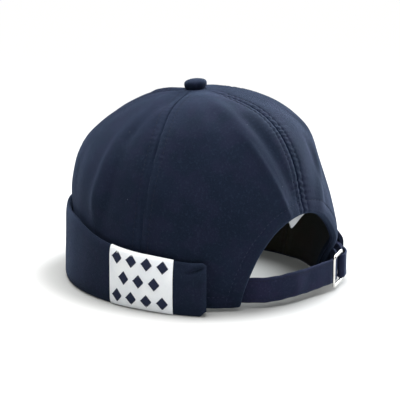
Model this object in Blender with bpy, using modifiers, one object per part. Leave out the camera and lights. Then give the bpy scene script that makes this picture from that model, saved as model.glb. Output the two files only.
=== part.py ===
"""A brimless cap: five crown panels and a button, a turned-up cuff, an arch at the back and a buckled strap.

Lengths are metres and +Z is up. The front faces -Y and the wearer's left is +X.
Angles go round from the middle of the back, positive towards the wearer's left.
The crown's rise goes from 0 degrees at the rim to 90 degrees at the top.
"""
import math
from collections import namedtuple

import bmesh
import bpy
import numpy as np
from mathutils import Vector

# Crown
HALF_WIDTH = 0.0872
FRONT_LENGTH = 0.1000
BACK_LENGTH = 0.0962
CROWN_HEIGHT = 0.1390
CROWN_WALL = 0.0018
RIM_LIFT = 0.0020
TOP_LEAN = -0.0050
SEAM_GAP = 0.0003
SEAM_DIP = 0.0012
SEAM_DIP_REACH = 0.0065
RIDGE_HEIGHT = 0.0017
RIDGE_REACH = 0.0080
RIDGE_FADE = 0.15
BUTTON_CALM = 10.0

# Arch at the back
ARCH_HALF_WIDTH = 0.0460
ARCH_HEIGHT = 0.0620
ARCH_FULLNESS = 2.3
FACING_WIDTH = 0.0090
FACING_WALL = 0.0010
FACING_CLEARANCE = 0.0012

# The buckle pulls the cloth out beside the arch's right foot, above the strap
FOOT_PULL = 0.0056
FOOT_PULL_ANGLE = -32.0
FOOT_PULL_REACH = 0.0215
FOOT_PULL_LEVEL = 0.0360
FOOT_PULL_ABOVE = 0.0230
FOOT_PULL_BELOW = 0.0125

# Button
BUTTON_RADIUS = 0.0082
BUTTON_HEIGHT = 0.0062
BUTTON_CLEARANCE = 0.0008
BUTTON_LEAN = 3.5
SHANK_RADIUS = 0.0018
SHANK_LENGTH = 0.0045
HOLE_CLEARANCE = 0.0013

# Cuff
CUFF_END = 49.0
CUFF_HEIGHT = 0.0560
CUFF_STAND_OFF = 0.0056
CUFF_WALL = 0.0040
CUFF_ROUND = 0.0060
CUFF_LIP = 0.0026
CUFF_LIP_ROUND = 0.0014
CUFF_CLEARANCE = 0.0005
CUFF_CORNER = 0.0040
CUFF_CORNER_LIFT = 0.0032
LEFT_FLARE_TOP = 0.0012
LEFT_FLARE_FOOT = 0.0040
RIGHT_FLARE_TOP = 0.0050
RIGHT_FLARE_FOOT = 0.0110
FLARE_REACH = 30.0

# Patch on the cuff
PATCH_FROM = 62.0
PATCH_TO = 90.5
PATCH_FOOT_SHARE = 0.03
PATCH_WALL = 0.0007
PATCH_CLEARANCE = 0.0004

# Strap and buckle
STRAP_WIDTH = 0.0175
STRAP_WALL = 0.0020
STRAP_SWING = 0.0066
STRAP_LIFT = 0.0056
STRAP_CLEARANCE = 0.0010
LOOP_WALL = 0.0012
LOOP_GAP = 0.0004
LOOP_CLEARANCE = 0.0008
LOOP_SEWN_DEPTH = 4.5
LOOP_DRAW_IN = 0.0010
BUCKLE_LENGTH = 0.0220
BUCKLE_WIRE = 0.0011
BUCKLE_RAIL_SHARE = 1.25
BUCKLE_CORNER = 0.0032
BUCKLE_CLEARANCE = 0.0004

# Label inside
LABEL_WIDTH = 0.0160
LABEL_LENGTH = 0.0240
LABEL_WALL = 0.0005
LABEL_ANGLE = 3.0
LABEL_TILT = 38.0
LABEL_DROP = 0.0070
LABEL_CLEARANCE = 0.0004

Profile = namedtuple("Profile", "rise back_share front_share")
CROWN_PROFILE = [
    Profile(0, 0.950, 0.925),
    Profile(10, 1.000, 0.985),
    Profile(22, 1.010, 1.010),
    Profile(35, 0.955, 0.985),
    Profile(48, 0.862, 0.865),
    Profile(60, 0.742, 0.655),
    Profile(71, 0.555, 0.430),
    Profile(81, 0.305, 0.225),
    Profile(90, 0.000, 0.000),
]

# Seams between the crown panels, going round from the middle of the back.
# Each one's angle at the button and at the rim.
Seam = namedtuple("Seam", "top_angle rim_angle")
SEAMS = [Seam(0.0, 0.0), Seam(73.5, 79.0), Seam(147.0, 147.0), Seam(213.0, 213.0), Seam(286.5, 281.0),
         Seam(360.0, 360.0)]
SEAM_DRIFT_RISE = 62.0
PANEL_NAMES = ["crown_back_left", "crown_side_left", "crown_front", "crown_side_right", "crown_back_right"]

# Soft ridges that run down the panels. The angles are where each one lies at its high and its low end.
Ridge = namedtuple("Ridge", "high_rise low_rise high_angle low_angle reach_share height_share")
RIDGES = [
    Ridge(76, 28, 44.0, 12.0, 0.88, 1.00),
    Ridge(78, 22, 84.0, 105.0, 1.00, 1.00),
    Ridge(76, 28, -52.0, -15.0, 0.88, 1.00),
    Ridge(78, 22, -84.0, -105.0, 1.00, 0.88),
    Ridge(74, 34, 172.0, 178.0, 1.38, 0.53),
]

# The button's profile from under its top, as shares of its radius and of half its height.
ButtonRow = namedtuple("ButtonRow", "radius_share height_share")
BUTTON_ROWS = [
    ButtonRow(0.42, 1.96),
    ButtonRow(0.72, 1.80),
    ButtonRow(0.91, 1.50),
    ButtonRow(1.00, 1.06),
    ButtonRow(0.95, 0.45),
    ButtonRow(0.80, 0.08),
]

# The cuff's height by the angle from the back, as shares of its height in front.
CuffHeight = namedtuple("CuffHeight", "angle height_share")
CUFF_HEIGHTS = [
    CuffHeight(50, 0.643),
    CuffHeight(70, 0.693),
    CuffHeight(88, 0.729),
    CuffHeight(100, 0.795),
    CuffHeight(112, 0.902),
    CuffHeight(126, 0.968),
    CuffHeight(150, 0.991),
    CuffHeight(180, 1.000),
]

# The cuff's section. A level is a share of the cuff's height plus a share of its rounding,
# and an inset is a share of its wall, inwards from its outer face.
CuffRow = namedtuple("CuffRow", "height_share round_share inset_share")
CUFF_FACE = [
    CuffRow(0.00, 0.00, 0.600),
    CuffRow(0.00, 0.27, 0.150),
    CuffRow(0.00, 1.00, 0.000),
    CuffRow(0.45, 0.00, 0.000),
    CuffRow(1.00, -1.00, 0.075),
    CuffRow(1.00, -0.30, 0.275),
]
CUFF_FOLD = [
    CuffRow(1.00, 0.00, 0.500),
    CuffRow(1.00, -0.20, 0.750),
]
CUFF_BACK = [
    CuffRow(1.00, -0.92, 1.000),
    CuffRow(0.62, 0.00, 1.000),
    CuffRow(0.34, 0.00, 1.000),
]

# The strap's middle line. A place is a share of the angle of the arch's foot. There the strap stands
# beyond the oval by a share of its swing, less a share of its tuck behind the crown.
StrapRow = namedtuple("StrapRow", "place swing_share tuck_share lift_share")
STRAP_ROWS = [
    StrapRow(1.40, 0.00, 1.00, 0.64),
    StrapRow(1.14, 0.00, 1.00, 0.66),
    StrapRow(0.96, 0.00, 0.92, 0.68),
    StrapRow(0.75, 0.00, 0.51, 0.73),
    StrapRow(0.48, 0.00, 0.31, 0.80),
    StrapRow(0.18, 0.00, 0.18, 0.88),
    StrapRow(-0.12, 0.00, 0.10, 0.93),
    StrapRow(-0.30, 0.18, 0.00, 0.98),
    StrapRow(-0.43, 0.52, 0.00, 1.00),
    StrapRow(-0.57, 0.82, 0.00, 1.00),
    StrapRow(-0.75, 1.00, 0.00, 1.00),
    StrapRow(-0.93, 0.94, 0.00, 1.00),
    StrapRow(-1.11, 0.70, 0.00, 1.00),
]
# The places of the buckle's two upright bars.
NEAR_BAR_PLACE = -0.563
FAR_BAR_PLACE = -0.922

Finish = namedtuple("Finish", "colour roughness metallic")
FINISHES = {
    "crown_twill": Finish((0.026, 0.034, 0.058), 0.92, 0.0),
    "cuff_twill": Finish((0.021, 0.028, 0.048), 0.92, 0.0),
    "strap_twill": Finish((0.020, 0.024, 0.045), 0.90, 0.0),
    "patch_weave": Finish((0.780, 0.800, 0.810), 0.85, 0.0),
    "buckle_metal": Finish((0.720, 0.720, 0.700), 0.28, 1.0),
    "label_tape": Finish((0.700, 0.710, 0.700), 0.80, 0.0),
}


def clear_scene():
    for old in list(bpy.data.objects):
        bpy.data.objects.remove(old, do_unlink=True)


def finish_material(name):
    material = bpy.data.materials.get(name) or bpy.data.materials.new(name)
    finish = FINISHES[name]
    material.use_nodes = True
    shader = material.node_tree.nodes["Principled BSDF"]
    shader.inputs["Base Color"].default_value = (*finish.colour, 1.0)
    shader.inputs["Roughness"].default_value = finish.roughness
    shader.inputs["Metallic"].default_value = finish.metallic
    return material


def add_object(name, mesh, material, parts, root):
    piece = bpy.data.objects.new(name, mesh)
    mesh.materials.append(finish_material(material))
    parts.objects.link(piece)
    piece.parent = root
    return piece


def shade_round(mesh, sharp_angle=35.0):
    mesh.shade_smooth()
    mesh.set_sharp_from_angle(angle=math.radians(sharp_angle))


def curve_through(stations, values, where):
    """A smooth curve through a short table's values, read at one place."""
    stations, values = np.asarray(stations, float), np.asarray(values, float)
    slopes = np.gradient(values, stations)
    i = int(np.clip(np.searchsorted(stations, where, side="right") - 1, 0, len(stations) - 2))
    step = stations[i + 1] - stations[i]
    t = min(max((where - stations[i]) / step, 0.0), 1.0)
    stay, leave = 2 * t ** 3 - 3 * t ** 2 + 1, t ** 3 - 2 * t ** 2 + t
    arrive = t ** 3 - t ** 2
    return float(stay * values[i] + leave * step * slopes[i]
                 + (1 - stay) * values[i + 1] + arrive * step * slopes[i + 1])


def ease(t):
    t = min(max(t, 0.0), 1.0)
    return t * t * (3 - 2 * t)


def turn_between(a, b):
    """The signed turn from angle b to angle a, in degrees."""
    return (a - b + 180.0) % 360.0 - 180.0


def rise_at(height):
    return math.degrees(math.asin(min(max(height / CROWN_HEIGHT, 0.0), 1.0)))


def crown_share(angle, rise):
    rises = [row.rise for row in CROWN_PROFILE]
    back = curve_through(rises, [row.back_share for row in CROWN_PROFILE], rise)
    front = curve_through(rises, [row.front_share for row in CROWN_PROFILE], rise)
    backness = ease((1 + math.cos(math.radians(angle))) / 2)
    return back * backness + front * (1 - backness)


def oval_point(angle, beyond, height, share=1.0):
    """A point at an angle round the cap's oval plan, beyond it by a length."""
    turn = math.radians(angle)
    length = BACK_LENGTH if math.cos(turn) > 0 else FRONT_LENGTH
    return Vector(((HALF_WIDTH * share + beyond) * math.sin(turn),
                   (length * share + beyond) * math.cos(turn), height))


def lean_at(rise):
    """How far the crown leans along Y: hardly at all at the rim, and wholly at its top."""
    return TOP_LEAN * math.sin(math.radians(rise)) ** 6


def smooth_crown_point(angle, rise):
    """The crown without its seams and ridges."""
    point = oval_point(angle, 0.0, CROWN_HEIGHT * math.sin(math.radians(rise)), crown_share(angle, rise))
    point.y += lean_at(rise)
    return point


def crown_normal(angle, rise):
    step = 0.25
    around = smooth_crown_point(angle + step, rise) - smooth_crown_point(angle - step, rise)
    low, high = max(rise - step, 0.0), min(rise + step, 89.9)
    up = smooth_crown_point(angle, high) - smooth_crown_point(angle, low)
    return up.cross(around).normalized()


def seam_angle(seam, rise):
    return seam.rim_angle + (seam.top_angle - seam.rim_angle) * ease(rise / SEAM_DRIFT_RISE)


def relief(angle, rise):
    """How far the cloth stands out of the smooth crown: seams pinch in, soft ridges stand out."""
    point = smooth_crown_point(angle, rise)
    radius = math.hypot(point.x, point.y - lean_at(rise))
    out = 0.0
    for seam in SEAMS[:-1]:
        arc = math.radians(turn_between(angle, seam_angle(seam, rise))) * radius
        out -= SEAM_DIP * math.exp(-(arc / SEAM_DIP_REACH) ** 2)
    for ridge in RIDGES:
        along = (rise - ridge.low_rise) / (ridge.high_rise - ridge.low_rise)
        ridge_angle = ridge.low_angle + (ridge.high_angle - ridge.low_angle) * along
        arc = math.radians(turn_between(angle, ridge_angle)) * radius
        fade = ease((along / RIDGE_FADE + 1) / 2) * ease(((1 - along) / RIDGE_FADE + 1) / 3)
        swell = math.exp(-(arc / (RIDGE_REACH * ridge.reach_share)) ** 2)
        out += RIDGE_HEIGHT * ridge.height_share * fade * swell
    from_pull = math.radians(turn_between(angle, FOOT_PULL_ANGLE)) * radius / FOOT_PULL_REACH
    above_pull = point.z - FOOT_PULL_LEVEL
    above_pull /= FOOT_PULL_ABOVE if above_pull > 0 else FOOT_PULL_BELOW
    out += FOOT_PULL * math.exp(-from_pull ** 2 - above_pull ** 2)
    return out * ease((90.0 - rise) / BUTTON_CALM)


def crown_point(angle, rise, beyond=0.0):
    return smooth_crown_point(angle, rise) + crown_normal(angle, rise) * (relief(angle, rise) + beyond)


def arch_place(turn, wider=0.0):
    """The angle and rise of a point on the arch. A turn of 0 is its top, 90 and -90 are its feet."""
    across = abs(math.sin(math.radians(turn))) ** (2 / ARCH_FULLNESS)
    upward = abs(math.cos(math.radians(turn))) ** (2 / ARCH_FULLNESS)
    x = (ARCH_HALF_WIDTH + wider) * across
    rise = rise_at(RIM_LIFT + (ARCH_HEIGHT + wider - RIM_LIFT) * upward)
    angle = 0.0
    for _ in range(4):
        angle = math.degrees(math.asin(min(x / (HALF_WIDTH * crown_share(angle, rise)), 1.0)))
    return math.copysign(angle, turn), rise


def grid_mesh(name, rows):
    """A sheet of faces over rows of points. The rows go up and the points of a row go round clockwise."""
    mesh = bpy.data.meshes.new(name)
    sheet = bmesh.new()
    grid = [[sheet.verts.new(point) for point in row] for row in rows]
    for low, high in zip(grid, grid[1:]):
        for i in range(len(low) - 1):
            sheet.faces.new((low[i], high[i], high[i + 1], low[i + 1]))
    sheet.normal_update()
    sheet.to_mesh(mesh)
    sheet.free()
    shade_round(mesh)
    return mesh


def solidify(piece, wall, offset):
    """A wall on an open sheet: offset -1 builds it inwards, 1 outwards and 0 to both sides."""
    shell = piece.modifiers.new("wall", "SOLIDIFY")
    shell.thickness = wall
    shell.offset = offset
    shell.use_even_offset = False


def spread(count, gather=0.0):
    """Places from 0 to 1, drawn towards both ends by gather."""
    even = [i / count for i in range(count + 1)]
    return [t * (1 - gather) + (1 - math.cos(math.pi * t)) / 2 * gather for t in even]


def hole_rise():
    """How high the panels reach: up to the hole for the button's shank."""
    rise = 90.0
    while crown_share(180.0, rise) * HALF_WIDTH < SHANK_RADIUS + HOLE_CLEARANCE:
        rise -= 0.1
    return rise


def panel_rows(lower_ends, shares, start, end, rise_count, low_gather=0.0):
    """Rows of points from a panel's lower ends up to the hole under the button.

    Each column starts at its lower end, an angle and a rise. It runs to its share of the way between the seams.
    low_gather draws the rows towards the lower ends.
    """
    top = hole_rise()
    rows = []
    for i in range(rise_count + 1):
        v = i / rise_count
        v *= 1 - low_gather * (1 - v)
        row = []
        for (low_angle, low_rise), share in zip(lower_ends, shares):
            rise = low_rise + (top - low_rise) * v
            from_angle, to_angle = seam_angle(start, rise), seam_angle(end, rise)
            between = from_angle + (to_angle - from_angle) * share
            at_seam = share in (0.0, 1.0)
            angle = between if at_seam else low_angle + turn_between(between, low_angle) * ease(v * 1.15)
            point = smooth_crown_point(angle, rise)
            radius = max(math.hypot(point.x, point.y), 0.004)
            inset = math.degrees(SEAM_GAP / 2 / radius) if at_seam else 0.0
            row.append(crown_point(angle + inset * (1 - 2 * share), rise))
        rows.append(row)
    return rows


def crown_panel(name, start, end, parts, root, column_count=13, rise_count=13):
    rim = rise_at(RIM_LIFT)
    shares = spread(column_count, 0.75)
    first, last = seam_angle(start, rim), seam_angle(end, rim)
    lower_ends = [(first + (last - first) * share, rim) for share in shares]
    mesh = grid_mesh(name, panel_rows(lower_ends, shares, start, end, rise_count))
    panel = add_object(name, mesh, "crown_twill", parts, root)
    solidify(panel, CROWN_WALL, -1.0)
    return panel


def back_panel(name, side, parts, root, arch_count=14, rim_count=7, rise_count=20):
    """A back panel, whose lower edge goes down the arch and then along the rim. Side 1 is the left."""
    foot_angle, foot_rise = arch_place(90.0)
    seam_foot = seam_angle(SEAMS[1], foot_rise)
    lower_ends = [arch_place(90.0 * (i / arch_count) ** 1.15) for i in range(arch_count)]
    lower_ends += [(foot_angle + (seam_foot - foot_angle) * t, foot_rise) for t in spread(rim_count, 0.5)]
    lower_ends = [(angle * side, rise) for angle, rise in lower_ends]
    shares = [i / (len(lower_ends) - 1) for i in range(len(lower_ends))]
    start, end = (SEAMS[0], SEAMS[1]) if side > 0 else (SEAMS[-2], SEAMS[-1])
    if side < 0:
        lower_ends.reverse()
    mesh = grid_mesh(name, panel_rows(lower_ends, shares, start, end, rise_count, low_gather=0.45))
    panel = add_object(name, mesh, "crown_twill", parts, root)
    solidify(panel, CROWN_WALL, -1.0)
    return panel


def arch_facing(parts, root, turn_count=40):
    """The folded strip that backs the arch's edge on the inside."""
    inward = -(CROWN_WALL + FACING_CLEARANCE)
    rows = []
    for wider in (0.0, FACING_WIDTH / 3, FACING_WIDTH * 2 / 3, FACING_WIDTH):
        places = [arch_place(-90.0 + 180.0 * i / turn_count, wider) for i in range(turn_count + 1)]
        rows.append([crown_point(angle, rise, inward) for angle, rise in places])
    facing = add_object("arch_facing", grid_mesh("arch_facing", rows), "crown_twill", parts, root)
    solidify(facing, FACING_WALL, -1.0)
    return facing


def button(parts, root, side_count=28):
    """A cloth-covered button, turned from its profile, with the rivet's shank below it."""
    profile = [(0.0, BUTTON_HEIGHT)]
    profile += [(BUTTON_RADIUS * row.radius_share, BUTTON_HEIGHT / 2 * row.height_share) for row in BUTTON_ROWS]
    profile += [(SHANK_RADIUS, 0.0), (SHANK_RADIUS, -SHANK_LENGTH), (0.0, -SHANK_LENGTH)]
    mesh = bpy.data.meshes.new("button")
    outline = bmesh.new()
    points = [outline.verts.new((x, 0.0, z)) for x, z in profile]
    for a, b in zip(points, points[1:]):
        outline.edges.new((a, b))
    outline.to_mesh(mesh)
    outline.free()
    cap = add_object("button", mesh, "crown_twill", parts, root)
    cap.location = (0.0, TOP_LEAN, CROWN_HEIGHT + BUTTON_CLEARANCE)
    cap.rotation_euler = (math.radians(BUTTON_LEAN), math.radians(BUTTON_LEAN), 0.0)
    turn = cap.modifiers.new("turn", "SCREW")
    turn.steps = side_count
    turn.render_steps = side_count
    turn.use_merge_vertices = True
    turn.merge_threshold = 0.00005
    turn.use_smooth_shade = True
    return cap


def cuff_height(angle):
    angles = [row.angle for row in CUFF_HEIGHTS]
    shares = [row.height_share for row in CUFF_HEIGHTS]
    return CUFF_HEIGHT * curve_through(angles, shares, abs(turn_between(angle, 0.0)))


def cuff_flare(angle, level):
    """The cuff's ends stand off the crown, and the buckle's loop pulls the right one further at its foot."""
    from_back = turn_between(angle, 0.0)
    foot, top = (RIGHT_FLARE_FOOT, RIGHT_FLARE_TOP) if from_back < 0 else (LEFT_FLARE_FOOT, LEFT_FLARE_TOP)
    strap_top = STRAP_LIFT + STRAP_WIDTH
    lean = ease((level - strap_top) / (cuff_height(angle) - strap_top))
    flare = foot + (top - foot) * lean
    return flare * ease(1 - (abs(from_back) - CUFF_END) / FLARE_REACH)


def cuff_profile(rows, height):
    """Rows of the cuff's section as lengths beyond the oval and levels."""
    profile = []
    for row in rows:
        level = height * row.height_share + CUFF_ROUND * row.round_share
        profile.append((CUFF_STAND_OFF - CUFF_WALL * row.inset_share, level))
    return profile


def crown_beyond(angle, height):
    """How far the crown's cloth stands beyond the oval at a height."""
    rise = rise_at(height)
    length = BACK_LENGTH if math.cos(math.radians(angle)) > 0 else FRONT_LENGTH
    return (crown_share(angle, rise) - 1.0) * (HALF_WIDTH + length) / 2 + max(relief(angle, rise), 0.0)


def cuff_section(angle):
    """The cuff's closed section: up the outer face, over the fold, down the inner face to the lip."""
    height = cuff_height(angle)
    outer = cuff_profile(CUFF_FACE + CUFF_FOLD, height)
    inner = []
    for beyond, level in cuff_profile(CUFF_BACK, height):
        inner.append((max(beyond, crown_beyond(angle, level) + CUFF_CLEARANCE), level))
    inner_face = CUFF_STAND_OFF - CUFF_WALL
    lip_end = crown_beyond(angle, CUFF_LIP) + CUFF_CLEARANCE
    lip = [(inner_face, CUFF_LIP + CUFF_LIP_ROUND * 3), (inner_face - CUFF_LIP_ROUND, CUFF_LIP),
           (lip_end, CUFF_LIP - CUFF_LIP_ROUND * 0.3), (lip_end, CUFF_LIP_ROUND * 0.4),
           (lip_end + CUFF_LIP_ROUND, 0.0)]
    return [(beyond + cuff_flare(angle, level), level) for beyond, level in outer + inner + lip]


def cuff(parts, root, column_count=58):
    """The turned-up cuff, lofted from its left end round the front to its right end."""
    mesh = bpy.data.meshes.new("cuff")
    band = bmesh.new()
    rings = []
    start, end = CUFF_END, 360.0 - CUFF_END
    corner_turn = math.degrees(CUFF_CORNER / HALF_WIDTH)
    angles = [start, start + corner_turn]
    angles += [start + corner_turn + (end - start - 2 * corner_turn) * i / column_count
               for i in range(1, column_count + 1)]
    angles.append(end)
    for angle in angles:
        at_end = angle in (start, end)
        ring = []
        for beyond, level in cuff_section(angle):
            lift = CUFF_CORNER_LIFT * max(1 - level / CUFF_CORNER, 0.0) if at_end else 0.0
            ring.append(band.verts.new(oval_point(angle, beyond, level + lift)))
        rings.append(ring)
    for ring, following in zip(rings, rings[1:]):
        for i in range(len(ring)):
            j = (i + 1) % len(ring)
            band.faces.new((ring[i], ring[j], following[j], following[i]))
    band.faces.new(rings[0])
    band.faces.new(list(reversed(rings[-1])))
    bmesh.ops.recalc_face_normals(band, faces=band.faces)
    band.to_mesh(mesh)
    band.free()
    shade_round(mesh, 50.0)
    return add_object("cuff", mesh, "cuff_twill", parts, root)


def cuff_face_point(angle, share, beyond):
    """A point on the cuff's outer face, at a share of the way from its foot to its fold."""
    profile = cuff_profile(CUFF_FACE[1:], cuff_height(angle))
    stations = np.linspace(0.0, 1.0, len(profile))
    out = np.interp(share, stations, [point[0] for point in profile])
    level = np.interp(share, stations, [point[1] for point in profile])
    return oval_point(angle, float(out) + cuff_flare(angle, float(level)) + beyond, float(level))


def cuff_patch(parts, root, column_count=8, row_count=9):
    """The woven patch sewn on the cuff's left side, over its whole height."""
    rows = []
    angles = np.linspace(PATCH_FROM, PATCH_TO, column_count + 1)
    for share in np.linspace(PATCH_FOOT_SHARE, 1.0, row_count + 1):
        rows.append([cuff_face_point(float(angle), share, PATCH_CLEARANCE) for angle in angles])
    patch = add_object("cuff_patch", grid_mesh("cuff_patch", rows), "patch_weave", parts, root)
    solidify(patch, PATCH_WALL, 1.0)
    return patch


def strap_tuck():
    """How far inside the oval the strap lies where it is sewn behind the arch's left foot."""
    drawn_in = (1 - CROWN_PROFILE[0].back_share) * HALF_WIDTH
    layers = CROWN_WALL + FACING_CLEARANCE + FACING_WALL + STRAP_CLEARANCE + STRAP_WALL / 2
    return drawn_in + layers


def strap_angle(place):
    """The angle of a place on the strap, from its share of the angle of the arch's foot."""
    foot_angle, _ = arch_place(90.0)
    return foot_angle * place


def strap_column(place, column):
    rows = list(reversed(STRAP_ROWS))
    return curve_through([row.place for row in rows], [getattr(row, column) for row in rows], place)


def strap_beyond(place):
    """How far the strap's middle stands beyond the oval."""
    return STRAP_SWING * strap_column(place, "swing_share") - strap_tuck() * strap_column(place, "tuck_share")


def strap_lift(place):
    """The height of the strap's lower edge."""
    return STRAP_LIFT * strap_column(place, "lift_share")


def long_strap(parts, root, column_count=34):
    """The strap that comes out from inside the left foot of the arch and goes behind the buckle."""
    places = np.linspace(STRAP_ROWS[-1].place, STRAP_ROWS[0].place, column_count + 1)
    rows = []
    for share in (0.0, 0.5, 1.0):
        row = []
        for place in places:
            height = strap_lift(place) + STRAP_WIDTH * share
            row.append(oval_point(strap_angle(place), strap_beyond(place), height))
        rows.append(row)
    strap = add_object("strap_left", grid_mesh("strap_left", rows), "strap_twill", parts, root)
    solidify(strap, STRAP_WALL, 0.0)
    return strap


def bar_point(place, layer):
    """The plan place of an upright bar of the buckle, outside the long strap and a layer on it."""
    beyond = strap_beyond(place) + STRAP_WALL / 2 + BUCKLE_CLEARANCE + BUCKLE_WIRE + layer
    return oval_point(strap_angle(place), beyond, 0.0)


def bar_places():
    """The plan places of the buckle's near and far bars."""
    near = bar_point(NEAR_BAR_PLACE, 0.0)
    far = bar_point(FAR_BAR_PLACE, LOOP_WALL + BUCKLE_CLEARANCE)
    return near, near + (far - near).normalized() * (BUCKLE_LENGTH - 2 * BUCKLE_WIRE)


def short_loop(parts, root, leg_count=7, bend_count=8):
    """The short loop round the buckle's far bar, whose two layers are sewn to the crown under the cuff."""
    near, far = bar_places()
    low = strap_lift(FAR_BAR_PLACE)
    sewn_angle = -(CUFF_END + LOOP_SEWN_DEPTH)
    cuff_inside = CUFF_STAND_OFF - CUFF_WALL + cuff_flare(sewn_angle, low + STRAP_WIDTH / 2)
    sewn_beyond = cuff_inside - LOOP_CLEARANCE - LOOP_WALL
    sewn = oval_point(sewn_angle, sewn_beyond, 0.0)
    before_sewn = oval_point(sewn_angle + 2 * LOOP_SEWN_DEPTH, sewn_beyond + LOOP_DRAW_IN, 0.0)
    bend_radius = BUCKLE_WIRE + BUCKLE_CLEARANCE + LOOP_WALL / 2
    leave = (far - near).normalized()
    arrive = (sewn - before_sewn).normalized()
    reach = (sewn - far).length * 0.4
    legs = []
    for side in (1, -1):
        leg = []
        for i in range(1, leg_count + 1):
            t = i / leg_count
            a, b = 1 - t, t
            spine = (far * a ** 3 + (far + leave * reach) * 3 * a * a * b
                     + (sewn - arrive * reach) * 3 * a * b * b + sewn * b ** 3)
            heading = (leave * a + arrive * b).normalized()
            across = Vector((-heading.y, heading.x, 0.0))
            closed = ease(t * 1.6)
            gap = bend_radius * (1 - closed) + (LOOP_WALL + LOOP_GAP) / 2 * closed
            leg.append(spine + across * gap * side)
        legs.append(leg)
    across = Vector((-leave.y, leave.x, 0.0))
    bend = []
    for i in range(bend_count + 1):
        turn = math.pi * i / bend_count
        bend.append(far + across * math.cos(turn) * bend_radius - leave * math.sin(turn) * bend_radius)
    path = list(reversed(legs[0])) + bend + legs[1]
    rows = []
    for share in (0.0, 0.5, 1.0):
        rows.append([Vector((point.x, point.y, low + STRAP_WIDTH * share)) for point in path])
    loop = add_object("strap_right", grid_mesh("strap_right", rows), "strap_twill", parts, root)
    solidify(loop, LOOP_WALL, 0.0)
    return loop


def buckle(parts, root, corner_count=4):
    """A wire frame with round corners, bent from one bar. Its top and bottom rails are a little thicker."""
    near, far = bar_places()
    along = (far - near).normalized()
    middle_height = strap_lift(NEAR_BAR_PLACE) + STRAP_WIDTH / 2
    half_long = (far - near).length / 2
    half_high = STRAP_WIDTH / 2 + BUCKLE_CLEARANCE * 2 + BUCKLE_WIRE * BUCKLE_RAIL_SHARE
    centre = (near + far) / 2
    wire = bpy.data.curves.new("buckle", "CURVE")
    wire.dimensions = "3D"
    wire.bevel_depth = BUCKLE_WIRE
    wire.bevel_resolution = 2
    places = []
    for quarter in range(4):
        turn = math.radians(90 * quarter)
        sign_x = 1 if quarter in (0, 3) else -1
        sign_z = 1 if quarter in (0, 1) else -1
        for i in range(corner_count + 1):
            swing = turn + math.radians(90) * i / corner_count
            x = sign_x * (half_long - BUCKLE_CORNER) + BUCKLE_CORNER * math.cos(swing)
            z = sign_z * (half_high - BUCKLE_CORNER) + BUCKLE_CORNER * math.sin(swing)
            thick = 1.0 + (BUCKLE_RAIL_SHARE - 1.0) * abs(math.sin(swing))
            places.append((x, z, thick))
    line = wire.splines.new("POLY")
    line.points.add(len(places) - 1)
    line.use_cyclic_u = True
    for point, (x, z, thick) in zip(line.points, places):
        place = centre + along * x
        point.co = (place.x, place.y, middle_height + z, 1.0)
        point.radius = thick
    frame = bpy.data.objects.new("buckle", wire)
    wire.materials.append(finish_material("buckle_metal"))
    parts.objects.link(frame)
    frame.parent = root
    return frame


def inner_label(parts, root):
    """A blank tape label inside the left back panel. One corner hangs below the arch's edge."""
    bpy.ops.mesh.primitive_cube_add(size=1.0)
    label = bpy.context.object
    label.name = "inner_label"
    label.data.name = "inner_label"
    for point in label.data.vertices:
        point.co = (point.co.x * LABEL_WIDTH, point.co.y * LABEL_WALL, point.co.z * LABEL_LENGTH)
    for holder in list(label.users_collection):
        holder.objects.unlink(label)
    parts.objects.link(label)
    label.data.materials.append(finish_material("label_tape"))
    tilt = math.radians(LABEL_TILT)
    corner_drop = LABEL_LENGTH / 2 * math.cos(tilt) + LABEL_WIDTH / 2 * math.sin(tilt)
    height = ARCH_HEIGHT - LABEL_DROP + corner_drop
    inward = CROWN_WALL + FACING_CLEARANCE + FACING_WALL + LABEL_WALL + SEAM_DIP + LABEL_CLEARANCE
    label.location = crown_point(LABEL_ANGLE, rise_at(height), -inward)
    label.rotation_euler = (0.0, tilt, -math.radians(LABEL_ANGLE))
    label.rotation_mode = "XYZ"
    label.parent = root
    return label


def world_corners(pieces):
    bpy.context.view_layer.update()
    seen = bpy.context.evaluated_depsgraph_get()
    corners = []
    for piece in pieces:
        shown = piece.evaluated_get(seen)
        mesh = shown.to_mesh()
        corners += [shown.matrix_world @ vertex.co for vertex in mesh.vertices]
        shown.to_mesh_clear()
    return corners


def centre_on_floor(root, pieces):
    """Moves the whole cap so that the origin is under the middle of its box, on the floor."""
    corners = world_corners(pieces)
    low = [min(corner[i] for corner in corners) for i in range(3)]
    high = [max(corner[i] for corner in corners) for i in range(3)]
    root.location = (-(low[0] + high[0]) / 2, -(low[1] + high[1]) / 2, -low[2])
    bpy.context.view_layer.update()


def build():
    clear_scene()
    parts = bpy.data.collections.new("cap")
    bpy.context.scene.collection.children.link(parts)
    root = bpy.data.objects.new("cap_root", None)
    parts.objects.link(root)
    pieces = [back_panel(PANEL_NAMES[0], 1, parts, root)]
    for name, start, end in zip(PANEL_NAMES[1:4], SEAMS[1:4], SEAMS[2:5]):
        pieces.append(crown_panel(name, start, end, parts, root))
    pieces.append(back_panel(PANEL_NAMES[4], -1, parts, root))
    pieces.append(button(parts, root))
    pieces.append(arch_facing(parts, root))
    pieces.append(cuff(parts, root))
    pieces.append(cuff_patch(parts, root))
    pieces.append(long_strap(parts, root))
    pieces.append(short_loop(parts, root))
    pieces.append(buckle(parts, root))
    pieces.append(inner_label(parts, root))
    centre_on_floor(root, pieces)


build()
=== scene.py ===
"""The looks of a brimless navy cap: twill panels, a turned-up cuff with a woven patch, and a buckled strap.

Lengths are metres. The front faces -Y, the wearer's left is +X and +Z is up.
Angles go round from the middle of the back, positive towards the wearer's left.
The crown's rise goes from 0 degrees at the rim to 90 degrees at the top.
"""
import math

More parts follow.
